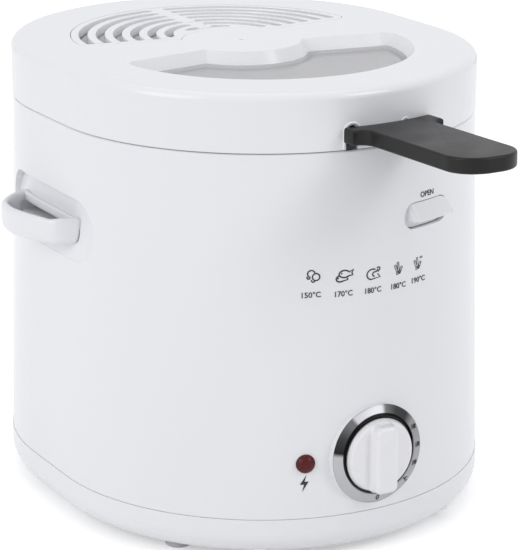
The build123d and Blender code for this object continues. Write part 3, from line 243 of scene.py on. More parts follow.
def moulded(name, tint, shade, rough, grain, flow, bump, depth=RELIEF_DEPTH, specular=0.5):
    pattern = {"Grain per metre": grain, "Flow per metre": flow}
    gloss = {"Metallic": 0.0, "Specular IOR Level": specular}
    return finish(name, MOULDED, tint, shade, rough, pattern, bump, depth, **gloss)


def drawn(name, tint, shade, rough, lines, bump):
    pattern = {"Lines per metre": lines}
    return finish(name, DRAWN, tint, shade, rough, pattern, bump, RELIEF_DEPTH, Metallic=1.0)


def grey(level):
    return (level, level, level)


def even(lines):
    """The same lines per metre along all three axes."""
    return (lines, lines, lines)


white_gloss = moulded(
    "White gloss plastic", tint=(0.80, 0.805, 0.825), shade=(0.785, 0.79, 0.812),
    rough=(0.20, 0.26), grain=260, flow=7, bump=0.03,
)
knob_white = moulded(
    "Knob plastic", tint=(0.82, 0.82, 0.83), shade=(0.80, 0.80, 0.815),
    rough=(0.24, 0.30), grain=500, flow=30, bump=0.04,
)
inner_white = moulded(
    "Natural moulding", tint=(0.72, 0.72, 0.69), shade=(0.66, 0.66, 0.63),
    rough=(0.4, 0.5), grain=700, flow=30, bump=0.1,
)
handle_black = moulded(
    "Handle black plastic", tint=grey(0.007), shade=grey(0.015),
    rough=(0.34, 0.46), grain=1600, flow=45, bump=0.35, specular=0.25,
)
trim_black = moulded(
    "Black trim", tint=(0.006, 0.006, 0.007), shade=(0.010, 0.010, 0.011),
    rough=(0.5, 0.6), grain=1200, flow=40, bump=0.2,
)
foot_grey = moulded(
    "Foot rubber", tint=(0.50, 0.51, 0.53), shade=(0.44, 0.45, 0.47),
    rough=(0.55, 0.65), grain=900, flow=60, bump=0.3,
)
gland_black = moulded(
    "Gland rubber", tint=grey(0.018), shade=grey(0.024),
    rough=(0.5, 0.6), grain=1200, flow=60, bump=0.2,
)
seal_grey = moulded(
    "Silicone seal", tint=(0.16, 0.16, 0.165), shade=(0.13, 0.13, 0.135),
    rough=(0.45, 0.55), grain=900, flow=50, bump=0.2,
)
thermostat_brown = moulded(
    "Phenolic moulding", tint=(0.05, 0.035, 0.03), shade=(0.035, 0.025, 0.02),
    rough=(0.35, 0.5), grain=900, flow=60, bump=0.2,
)
print_ink = moulded(
    "Printed ink", tint=(0.008, 0.008, 0.010), shade=(0.014, 0.014, 0.016),
    rough=(0.4, 0.5), grain=2500, flow=80, bump=0.1,
)
print_grey = moulded(
    "Printed grey ink", tint=(0.020, 0.020, 0.024), shade=(0.030, 0.030, 0.034),
    rough=(0.4, 0.5), grain=2500, flow=80, bump=0.1,
)
pot_dark = moulded(
    "Non-stick coating", tint=(0.045, 0.045, 0.048), shade=(0.060, 0.060, 0.064),
    rough=(0.28, 0.40), grain=1800, flow=14, bump=0.3,
)
fleece = moulded(
    "Filter fleece", tint=grey(0.66), shade=grey(0.74),
    rough=(0.85, 0.95), grain=2200, flow=240, bump=1.0, depth=0.0006,
)
lens_red = moulded(
    "Lamp red", tint=(0.13, 0.006, 0.008), shade=(0.035, 0.003, 0.004),
    rough=(0.30, 0.40), grain=900, flow=420, bump=0.3, specular=0.25,
)
plated = drawn(
    "Zinc plating", tint=(0.62, 0.62, 0.60), shade=(0.50, 0.50, 0.48),
    rough=(0.25, 0.4), lines=even(700), bump=0.1,
)
basket_metal = drawn(
    "Bright plating", tint=grey(0.74), shade=grey(0.62),
    rough=(0.12, 0.22), lines=even(600), bump=0.05,
)
sheet_metal = drawn(
    "Galvanised sheet", tint=(0.60, 0.61, 0.62), shade=(0.45, 0.46, 0.47),
    rough=(0.3, 0.45), lines=even(90), bump=0.05,
)
liner_metal = drawn(
    "Liner sheet", tint=(0.70, 0.71, 0.72), shade=(0.58, 0.59, 0.60),
    rough=(0.28, 0.4), lines=(2500, 40, 40), bump=0.08,
)
tube_metal = drawn(
    "Heat-tinted tube", tint=(0.30, 0.25, 0.21), shade=(0.16, 0.13, 0.12),
    rough=(0.35, 0.5), lines=even(120), bump=0.1,
)
copper = drawn(
    "Drawn copper", tint=(0.72, 0.38, 0.24), shade=(0.58, 0.29, 0.18),
    rough=(0.25, 0.4), lines=even(400), bump=0.05,
)


def pane_material():
    """Lightly smoked pane: clear where looked through, with its own gloss."""
    material, tree, shader = new_material("Smoked pane")
    place = tree.nodes.new("ShaderNodeTexCoord")
    cloud = add_node(tree, "ShaderNodeTexNoise", {"Vector": place.outputs["Object"], "Scale": 30.0})
    set_inputs(tree, shader, {
        "Base Color": (0.76, 0.76, 0.77, 1),
        "Roughness": ranged(tree, cloud.outputs["Fac"], 0.06, 0.10),
        "IOR": 1.49,
        "Alpha": 0.52,
    })
    return material


# painted reflections on the spun ring: its grey at angles in degrees, clockwise from its top
RING_REFLECTION_WEDGES = (
    (-180, 0.42), (-84, 0.46), (-79, 0.015), (-60, 0.05), (-42, 0.17), (-37, 0.16), (-33, 0.63),
    (4, 0.63), (9, 0.16), (24, 0.05), (42, 0.04), (54, 0.26), (95, 0.33), (180, 0.42),
)
RING_BLUE = 1.03
CIRCLES_PER_METRE = 9000.0
# painted shade and dark reflection: the ring goes black in its inner bevel, round a centre off the
# dial's middle
PAINTED_SHADE_CENTRE = (-0.6 * MM, 0, 1.1 * MM)     # so the painted shade in the inner bevel is widest at the upper left
PAINTED_SHADE_DARK_R, PAINTED_SHADE_END_R = 19.65, 19.85
PAINTED_SHADE_LEVEL = 0.02


def ring_material():
    """Spun metal: fine circles, with light and dark wedges of painted reflection and painted shade
    in its inner bevel.
    """
    material, tree, shader = new_material("Spun dial metal")
    place = tree.nodes.new("ShaderNodeTexCoord")
    centre = add_node(tree, "ShaderNodeMapping", {
        "Vector": place.outputs["Object"], "Location": (0, 0, -DIAL_Z * MM),
    })
    across = add_node(tree, "ShaderNodeSeparateXYZ", {0: centre.outputs["Vector"]}).outputs
    flat = vector(tree, X=across["X"], Z=across["Z"])

    angle = maths(tree, "ARCTAN2", across["X"], across["Z"])
    turn = ranged(tree, angle, 0.0, 1.0, -math.pi, math.pi)
    # painted reflections: light and dark wedges in the metal's colour, by angle round the dial
    painted_reflections = add_node(tree, "ShaderNodeValToRGB", {"Fac": turn})
    ramp = painted_reflections.color_ramp.elements
    while len(ramp) < len(RING_REFLECTION_WEDGES):
        ramp.new(0.5)
    for stop, (degrees, level) in zip(ramp, RING_REFLECTION_WEDGES):
        stop.position = (degrees + 180) / 360
        stop.color = (level, level, level * RING_BLUE, 1)

    reach = add_node(tree, "ShaderNodeVectorMath", {0: flat}, operation="LENGTH")
    circles = add_node(
        tree, "ShaderNodeTexNoise", {"W": reach.outputs["Value"], "Scale": CIRCLES_PER_METRE},
        noise_dimensions="1D",
    ).outputs["Fac"]
    shade_reach = add_node(
        tree, "ShaderNodeVectorMath", {0: flat, 1: PAINTED_SHADE_CENTRE}, operation="DISTANCE"
    )
    # painted shade: black inside the dark radius, fading to the metal's own colour by the end
    # radius
    bevel = ranged(
        tree, shade_reach.outputs["Value"], PAINTED_SHADE_LEVEL, 1.0,
        PAINTED_SHADE_DARK_R * MM, PAINTED_SHADE_END_R * MM,
    )
    brightness = maths(tree, "MULTIPLY", ranged(tree, circles, 0.86, 1.08), bevel)
    tint = add_node(
        tree, "ShaderNodeVectorMath", {0: painted_reflections.outputs["Color"], "Scale": brightness},
        operation="SCALE",
    )
    relief = add_node(tree, "ShaderNodeBump", {
        "Strength": 0.15, "Distance": 0.00005, "Height": circles,
    })
    set_inputs(tree, shader, {
        "Base Color": tint.outputs["Vector"],
        "Roughness": ranged(tree, circles, 0.30, 0.42),
        "Normal": relief.outputs["Normal"],
        "Metallic": 0.85,
    })
    return material


spun_ring = ring_material()
smoked_pane = pane_material()

CAD_FINISH = {
    white_gloss: [
        "housing", "base", "deck_ring", "lid_shell", "filter_cover", "filter_grid",
        "release_button", "side_handle_left", "side_handle_right",
    ],
    knob_white: ["knob"],
    inner_white: ["lamp_holder", "latch_lever", "lid_catch", "terminal_block"],
    handle_black: ["basket_handle"],
    trim_black: ["dial_backing"],
    foot_grey: ["feet"],
    gland_black: ["cord_gland"],
    seal_grey: ["lid_gasket", "window_seal"],
    thermostat_brown: ["thermostat"],
    pot_dark: ["pot"],
    fleece: ["filter_mat"],
    lens_red: ["lamp_lens"],
    spun_ring: ["dial_ring"],
    basket_metal: ["basket_mesh", "basket_frame", "basket_bracket"],
    sheet_metal: ["heat_shield"],
    liner_metal: ["lid_liner"],
    tube_metal: ["heating_element"],
    copper: ["sensor_tube"],
    smoked_pane: ["window_pane"],
}
named = {name for names in CAD_FINISH.values() for name in names}
CAD_FINISH[plated] = [name for name in nodes if name not in named]
for material, names in CAD_FINISH.items():
    for name in names:
        nodes[name].data.materials.clear()
        nodes[name].data.materials.append(material)


# ---------------------------------------------------------------- making pieces
WELD = 0.004              # corners nearer than this are one
FLAT_ANGLE = 0.4          # triangles that turn less than this are one face
SOFT_SEGMENTS = 3
SOFT_ANGLE = 38           # edges sharper than this are rounded over


def in_scene(name, data):
    thing = bpy.data.objects.new(name, data)
    bpy.context.scene.collection.objects.link(thing)
    return thing


def add_piece(name, mesh, material, body):
    mesh.name = name
    mesh.materials.clear()
    mesh.materials.append(material)
    piece = in_scene(name, mesh)
    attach(piece, body)
    return piece


def plain_mesh(source):
    """The finished mesh of an object, which is then taken away."""
    bpy.context.view_layer.update()
    graph = bpy.context.evaluated_depsgraph_get()
    mesh = bpy.data.meshes.new_from_object(source.evaluated_get(graph), depsgraph=graph)
    bpy.data.objects.remove(source)
    return mesh


def welded(node):
    """A copy of a CAD piece with its loose triangles welded, open for shaping."""
    shape = bmesh.new()
    shape.from_mesh(nodes[node].data)
    bmesh.ops.remove_doubles(shape, verts=shape.verts, dist=WELD * MM)
    return shape


def closed_up(shape, name, outwards=False):
    """The mesh of a finished shape; outwards turns every face of it to the outside."""
    if outwards:
        bmesh.ops.recalc_face_normals(shape, faces=shape.faces)
    mesh = bpy.data.meshes.new(name)
    shape.to_mesh(mesh)
    shape.free()
    return mesh


def joined(meshes, outwards=False):
    whole = bmesh.new()
    for mesh in meshes:
        whole.from_mesh(mesh)
        bpy.data.meshes.remove(mesh)
    return closed_up(whole, "joined", outwards)


def moved(mesh, matrix):
    mesh.transform(matrix)
    mesh.update()
    return mesh


def shaded_smooth(mesh):
    for face in mesh.polygons:
        face.use_smooth = True
    return mesh


def softened(name, material, body, width, trim=None):
    """A CAD piece with its sharp edges rounded over; trim shifts its points first."""
    shape = welded(name)
    if trim:
        for vertex in shape.verts:
            trim(vertex)
    bmesh.ops.dissolve_limit(
        shape, angle_limit=math.radians(FLAT_ANGLE), verts=shape.verts, edges=shape.edges,
        use_dissolve_boundaries=False,
    )
    source = in_scene(name + "_soft", shaded_smooth(closed_up(shape, name)))
    bevel = source.modifiers.new("edges", "BEVEL")
    bevel.width = width * MM
    bevel.segments = SOFT_SEGMENTS
    bevel.limit_method = "ANGLE"
    bevel.angle_limit = math.radians(SOFT_ANGLE)
    bevel.miter_outer = "MITER_ARC"
    soft = plain_mesh(source)
    soft.set_sharp_from_angle(angle=math.radians(SOFT_ANGLE))
    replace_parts(add_piece(name + "_soft", soft, material, body), name)


def soft_form(name, mesh, material, body, node, voxel, grow, rounds):
    """A piece with every edge and root rounded, as a thick moulding leaves the tool."""
    source = in_scene(name, mesh)
    skin = source.modifiers.new("skin", "REMESH")
    skin.mode = "VOXEL"
    skin.voxel_size = voxel * MM
    skin.use_smooth_shade = True
    if grow:
        thicker = source.modifiers.new("thicker", "DISPLACE")
        thicker.strength = grow * MM
        thicker.mid_level = 0.0
    flow = source.modifiers.new("flow", "SMOOTH")
    flow.factor = 0.5
    flow.iterations = rounds
    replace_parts(add_piece(name, plain_mesh(source), material, body), node)


def rod(points, radius, roundness, closed=False):
    """A round bar with capped ends through points."""
    curve = bpy.data.curves.new("rod", "CURVE")
    curve.dimensions = "3D"
    curve.bevel_depth = radius
    curve.bevel_resolution = roundness
    curve.use_fill_caps = True
    line = curve.splines.new("POLY")
    line.points.add(len(points) - 1)
    for point, place in zip(line.points, points):
        point.co = (*place, 1)
    line.use_cyclic_u = closed
    return plain_mesh(in_scene("rod", curve))


def arc(cx, cy, rx, ry, start, end, count=20):
    points = []
    for i in range(count + 1):
        a = math.radians(start + (end - start) * i / count)
        points.append((cx + rx * math.cos(a), cy + ry * math.sin(a)))
    return points


# ---------------------------------------------------------------- prints on the front
LINE = 0.80               # widths of the printed lines
FINE = 0.50
INK_THICK = 0.2
INK_OFF = 0.05            # how far the ink's middle stands off the wall


def lettering(text, size, thick=INK_THICK / 2, heavier=0.0):
    """Flat letters around the origin, in mm, facing +Z; heavier widens their strokes."""
    curve = bpy.data.curves.new("letters", "FONT")
    curve.body = text
    curve.size = size
    curve.offset = heavier
    curve.align_x = "CENTER"
    curve.align_y = "CENTER"
    curve.extrude = thick
    curve.resolution_u = 6
    return plain_mesh(in_scene("letters", curve))


def stroke(points, width, closed=False):
    """One printed line through points, in mm, facing +Z."""
    mesh = rod([(x, y, 0) for x, y in points], width / 2, 1, closed)
    for vertex in mesh.vertices:
        vertex.co.z *= INK_THICK / width
    return mesh


def on_front_wall(mesh, x, z):
    """Lays a flat mesh on the housing's front, centred at x, z."""
    for vertex in mesh.vertices:
        flat = vertex.co.copy()
        vertex.co = wall_point(x + flat.x, z + flat.y, INK_OFF + flat.z) * MM
    mesh.update()
    return mesh


def capsule(x, y, length, width, lean):
    """Outline of a stick with round ends, leaning by an angle from upright."""
    half, r, a = (length - width) / 2, width / 2, math.radians(lean)
    outline = arc(0, half, r, r, 0, 180, 6) + arc(0, -half, r, r, 180, 360, 6)
    return [
        (x + px * math.cos(a) - py * math.sin(a), y + px * math.sin(a) + py * math.cos(a))
        for px, py in outline
    ]


def croquettes():
    return [
        stroke(arc(-1.2, 1.1, 2.1, 2.1, 15, 255, 18), LINE),
        stroke(arc(1.5, -0.9, 2.1, 2.1, 0, 345, 22), LINE, True),
        stroke(arc(-2.7, -0.9, 0.95, 0.95, 150, 330, 8), LINE),
        stroke(arc(-0.2, -2.9, 0.95, 0.95, 150, 340, 8), LINE),
    ]


def fish():
    front = arc(-0.2, 0.9, 2.9, 1.9, 25, 320, 20) + [(4.4, 0.0), (3.9, 1.3), (4.9, 2.9)]
    rear = arc(-2.6, -1.5, 2.1, 1.6, 95, 300, 14) + [(1.6, -2.2), (1.4, -1.2)]
    eyes = [
        stroke(arc(x, y, 0.2, 0.2, 0, 300, 6), FINE, True) for x, y in ((-1.7, 1.2), (-3.7, -1.2))
    ]
    return [stroke(front, LINE, True), stroke(rear, LINE)] + eyes


def roast_bird():
    back = arc(-0.6, -0.4, 3.6, 3.0, 60, 250, 18)
    return [
        stroke(back + [(4.3, -2.4), (2.6, -0.4)], LINE),
        stroke(arc(0.9, -0.4, 1.5, 1.3, 60, 260, 10), LINE),
        stroke([(1.7, 0.7), (2.5, 1.9)], LINE),
        stroke(arc(3.2, 2.4, 1.0, 0.9, 200, 520, 12), LINE),
        stroke([(3.4, 1.4), (2.9, 0.6)], LINE),
    ]


def fries():
    width = 1.15
    # each stick's middle, length and lean
    sticks = (
        (-1.9, 0.6, 5.0, 24), (-0.4, 1.2, 6.6, 6), (1.4, -0.6, 4.6, -26), (-0.2, -2.0, 3.4, -60),
    )
    return [
        stroke(capsule(x, y, length, width, lean), FINE, True) for x, y, length, lean in sticks
    ]


def hot_fries():
    flecks = [stroke([(x, 3.4), (x + 0.4, 4.6)], LINE) for x in (1.9, 3.3)]
    return fries() + flecks


# motif, its place and scale, then the heat's text and place
FOODS = (
    (croquettes, -31.4, 141.9, 0.80, "150°C", -32.7, 132.6),
    (fish, -16.5, 140.6, 0.90, "170°C", -17.3, 131.9),
    (roast_bird, -1.6, 139.7, 0.84, "180°C", -2.0, 131.6),
    (fries, 12.9, 139.4, 0.78, "180°C", 12.5, 131.4),
    (hot_fries, 25.0, 139.4, 0.78, "190°C", 25.2, 131.9),
)
HEAT_SIZE, HEAT_HEAVIER = 3.65, 0.03
for i, (motif, x, z, scale, heat, heat_x, heat_z) in enumerate(FOODS):
    drawing = moved(joined(motif()), Matrix.Diagonal((scale, scale, 1, 1)))
    add_piece(f"food_print_{i + 1}", on_front_wall(drawing, x, z), print_grey, "body")
    words = lettering(heat, HEAT_SIZE, heavier=HEAT_HEAVIER)
    add_piece(f"food_heat_{i + 1}", on_front_wall(words, heat_x, heat_z), print_grey, "body")

OPEN_X, OPEN_Z = 31.2, 172.6
open_word = lettering("OPEN", 3.6, heavier=0.05)
add_piece("open_word", on_front_wall(open_word, OPEN_X, OPEN_Z), print_ink, "body")

FLASH = ((1.0, 4.0), (-1.9, -0.5), (0.0, -0.5), (-0.9, -4.0), (2.0, 0.8), (0.1, 0.8))
FLASH_HALVES = ((0, 1, 2, 5), (2, 3, 4, 5))
FLASH_X, FLASH_Z = -36.3, 40.6


def flash_plate():
    """The zigzag flash as a thin closed plate."""
    shape = bmesh.new()
    front = [shape.verts.new((x, y, INK_THICK / 2)) for x, y in FLASH]
    back = [shape.verts.new((x, y, -INK_THICK / 2)) for x, y in FLASH]
    for half in FLASH_HALVES:
        shape.faces.new([front[k] for k in half])
        shape.faces.new([back[k] for k in reversed(half)])
    for k in range(len(FLASH)):
        j = (k + 1) % len(FLASH)
        shape.faces.new([front[k], back[k], back[j], front[j]])
    return closed_up(shape, "flash", outwards=True)


add_piece("lamp_flash", on_front_wall(flash_plate(), FLASH_X, FLASH_Z), print_ink, "body")

# upright marks on the dial ring: text, degrees clockwise from the top, size, share of its width
DIAL_MARKS = (
    ("140", 62, 3.3, 0.66), ("170", 88, 3.3, 0.66), ("190", 112, 3.3, 0.66),
    ("°C", 136, 3.3, 0.9), ("0", 181, 4.0, 0.9),
)
MARK_R = 22.0
MARK_THICK, MARK_HEAVIER, MARK_OFF = 0.06, 0.035, 0.14
for label, angle, size, narrow in DIAL_MARKS:
    letters = lettering(label, size, MARK_THICK, MARK_HEAVIER)
    a = math.radians(angle)
    for vertex in letters.vertices:
        x = MARK_R * math.sin(a) + vertex.co.x * narrow
        z = MARK_R * math.cos(a) + vertex.co.y
        stand = ring_stand(math.hypot(x, z)) + MARK_OFF + vertex.co.z
        vertex.co = Vector((x, DIAL_FACE_Y - stand, DIAL_Z + z)) * MM
    letters.update()
    add_piece("dial_mark_" + label.replace("°", "deg"), letters, print_ink, "body")

# ---------------------------------------------------------------- vent cover and basket handle
PADDLE_FROM_Y = -140.0
PADDLE_SHARE = 0.965


def shorter_paddle(vertex):
    if vertex.co.y < PADDLE_FROM_Y * MM:
        vertex.co.y = (PADDLE_FROM_Y + (vertex.co.y / MM - PADDLE_FROM_Y) * PADDLE_SHARE) * MM


softened("filter_cover", white_gloss, "vent_cover", width=0.35)
softened("basket_handle", handle_black, "body", width=0.7, trim=shorter_paddle)

# ---------------------------------------------------------------- side grips
# they grow fuller by GRIP_FLESH all round, so they start that much shorter past the wall
GRIP_FLESH = 0.9
GRIP_ROOT_X = 110.0
GRIP_REACH = 17.1
GRIP_MID_Y = 3.8
GRIP_LENGTH_SHARE = 0.965
GRIP_SHIFT_Y = 0.6
for side in ("left", "right"):
    shape = welded(f"side_handle_{side}")
    for vertex in shape.verts:
        along = (vertex.co.y / MM - GRIP_MID_Y) * GRIP_LENGTH_SHARE
        vertex.co.y = (GRIP_MID_Y + along + GRIP_SHIFT_Y) * MM
        past_wall = abs(vertex.co.x) - GRIP_ROOT_X * MM
        if past_wall > 0:
            vertex.co.x -= math.copysign(past_wall * GRIP_FLESH / GRIP_REACH, vertex.co.x)
    soft_form(
        f"side_grip_{side}", closed_up(shape, "grip"), white_gloss, "body", f"side_handle_{side}",
        voxel=0.5, grow=GRIP_FLESH, rounds=8,
    )

# ---------------------------------------------------------------- release button
# An oval cup with a sloped grip across its upper part. Across it, u is in mm from its middle;
# up it, v runs from -1 at its lower edge to 1 at its upper edge.
BUTTON_X, BUTTON_Z = 31.3, 163.4
BUTTON_HALF_W, BUTTON_HALF_H = 14.7, 6.0
BUTTON_COLUMNS, BUTTON_ROWS = 40, 36
BUTTON_BACK = -5.0
BUTTON_CUT = -3.0         # behind this the CAD button's own rear is kept
CUP_FLOOR = -2.2
GRIP_STAND = 5.0
GRIP_SLOPE = 1.25         # how much of v the slope takes
GRIP_FOOT = (-0.50, -0.34)
GRIP_LEFT_END = (-12.8, -10.6)
GRIP_RIGHT_END = (-14.4, -13.0)


def ease(x, low, high):
    t = min(max((x - low) / (high - low), 0), 1)
    return t * t * (3 - 2 * t)


def button_reach(v):
    """Half the oval's width at a level."""
    z = v * BUTTON_HALF_H
    return BUTTON_HALF_W - BUTTON_HALF_H + math.sqrt(max(BUTTON_HALF_H**2 - z * z, 0))


def button_point(u, v, stand):
    return wall_point(BUTTON_X + u, BUTTON_Z + v * BUTTON_HALF_H, stand) * MM


def button_front(u, v):
    slope = GRIP_STAND * min((1 - v) / GRIP_SLOPE, 1)
    on_grip = ease(v, *GRIP_FOOT) * ease(u, *GRIP_LEFT_END) * ease(-u, *GRIP_RIGHT_END)
    return button_point(u, v, CUP_FLOOR + (slope - CUP_FLOOR) * on_grip)


def button_back(u, v):
    return button_point(u, v, BUTTON_BACK)


def button_cup():
    """Closed solid between the button's shaped front and a plain back."""
    rows, columns = BUTTON_ROWS, BUTTON_COLUMNS
    verts, faces = [], []
    for side in (button_front, button_back):
        for j in range(rows + 1):
            v = 2 * j / rows - 1
            reach = button_reach(v)
            verts += [side((2 * i / columns - 1) * reach, v) for i in range(columns + 1)]
    layer = (rows + 1) * (columns + 1)

    def spot(j, i):
        return j * (columns + 1) + i

    for j in range(rows):
        for i in range(columns):
            a, b, c, d = spot(j, i), spot(j, i + 1), spot(j + 1, i + 1), spot(j + 1, i)
            faces.append((a, b, c, d))
            faces.append((d + layer, c + layer, b + layer, a + layer))
    rim = [spot(0, i) for i in range(columns)] + [spot(j, columns) for j in range(rows)]
    rim += [spot(rows, columns - i) for i in range(columns)]
    rim += [spot(rows - j, 0) for j in range(rows)]
    for a, b in zip(rim, rim[1:] + rim[:1]):
        faces.append((b, a, a + layer, b + layer))
    mesh = bpy.data.meshes.new("button_cup")
    mesh.from_pydata(verts, [], faces)
    return mesh


shape = welded("release_button")
outwards = Vector((BUTTON_X, wall_point(BUTTON_X, BUTTON_Z).y + END_CENTRE, 0)).normalized()
bmesh.ops.bisect_plane(
    shape, geom=shape.verts[:] + shape.edges[:] + shape.faces[:],
    plane_co=button_point(0, 0, BUTTON_CUT), plane_no=outwards, clear_outer=True,
)
bmesh.ops.holes_fill(shape, edges=shape.edges)
shape.from_mesh(button_cup())
button = shaded_smooth(closed_up(shape, "button", outwards=True))
button.set_sharp_from_angle(angle=math.radians(50))
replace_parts(add_piece("release_grip", button, white_gloss, "release"), "release_button")

# ---------------------------------------------------------------- knob
# a shallow disc with a broad bar standing from it
KNOB_BAR_STAND = 6.2
DISC_FACE = 2.1
DISC_POINTS = 96
knob_low, knob_high = box_mm("knob")
RING_FACE_Y = knob_low.y + KNOB_BAR_STAND
# radius and stand, from the disc's face round its edge to its rear
DISC_STEPS = (
    (15.6, DISC_FACE), (16.7, 1.9), (17.4, 1.3), (17.5, 0.4), (18.0, 0.1), (18.1, -0.4),
    (18.1, RING_FACE_Y - knob_high.y),
)
BAR_HALF_W, BAR_LOW, BAR_HIGH, BAR_CORNER_R = 6.0, -17.4, 16.0, 3.0
# stand, and how far the bar is wider there than its named size
BAR_STEPS = ((-1.5, 0.8), (2.2, 0.7), (2.6, 0.4), (3.2, 0.2), (6.6, -0.1), (7.3, -0.6), (7.8, -1.6))


def knob_point(x, z, stand):
    return Vector((x, RING_FACE_Y - stand, DIAL_Z + z)) * MM


def stacked(rings):
    """A closed solid skinned over rings that have equally many points."""
    count = len(rings[0])
    verts = [point for ring in rings for point in ring]
    faces = []
    for start in range(0, len(verts) - count, count):
        for i in range(count):
            a, b = start + i, start + (i + 1) % count
            faces.append((a, b, b + count, a + count))
    faces.append(tuple(reversed(range(count))))
    faces.append(tuple(range(len(verts) - count, len(verts))))
    mesh = bpy.data.meshes.new("stacked")
    mesh.from_pydata(verts, [], faces)
    return mesh


def disc_ring(radius, stand):
    turns = [2 * math.pi * i / DISC_POINTS for i in range(DISC_POINTS)]
    return [knob_point(radius * math.cos(a), radius * math.sin(a), stand) for a in turns]


def bar_ring(stand, wider):
    half_w, r = BAR_HALF_W + wider, BAR_CORNER_R + wider
    left, right = r - half_w, half_w - r
    low, high = BAR_LOW - wider + r, BAR_HIGH + wider - r
    corners = ((right, high, 0), (left, high, 90), (left, low, 180), (right, low, 270))
    outline = [p for x, z, start in corners for p in arc(x, z, r, r, start, start + 90, 6)]
    return [knob_point(x, z, stand) for x, z in outline]


knob_solid = joined([
    stacked([disc_ring(*step) for step in DISC_STEPS]),
    stacked([bar_ring(*step) for step in BAR_STEPS]),
], outwards=True)
soft_form("knob_form", knob_solid, knob_white, "dial_knob", "knob", voxel=0.35, grow=0.0, rounds=5)

# ---------------------------------------------------------------- ribs on the lid's skirt
SURROUND_WIDTH, SURROUND_MARGIN = 1.3, 1.0
SURROUND_FOOT_Z = LID_Z + 0.8
EYELET_X, EYELET_Z, EYELET_R, EYELET_WIDTH = 15.8, 209.4, 2.0, 0.9


def skirt_rib(name, points, width):
    """A half-sunk round rib along points (x, z) on the lid's skirt."""
    mesh = rod([skirt_point(x, z) * MM for x, z in points], width / 2 * MM, 3)
    add_piece(name, mesh, white_gloss, "lid")


edge = SLOT_HALF + SURROUND_MARGIN
crown_z = LEFT_SLOT_TOP - SLOT_HALF
surround = [(LEFT_SLOT_X - edge, SURROUND_FOOT_Z)]
surround += [(LEFT_SLOT_X + x, z) for x, z in arc(0, crown_z, edge, edge, 180, 30, 16)]
skirt_rib("slot_surround", surround, SURROUND_WIDTH)
skirt_rib("skirt_eyelet", arc(EYELET_X, EYELET_Z, EYELET_R, EYELET_R, 0, 180, 14), EYELET_WIDTH)

# ---------------------------------------------------------------- woven basket
RING_POINTS = 72
WIRE_SIDES = 6
CORNER_SHARE = 0.87       # the floor's flat part, as a share of the floor's radius
CORNER_LIFT = 0.1         # the bend round the floor, as a share of the height
HUB_SHARE = 0.1


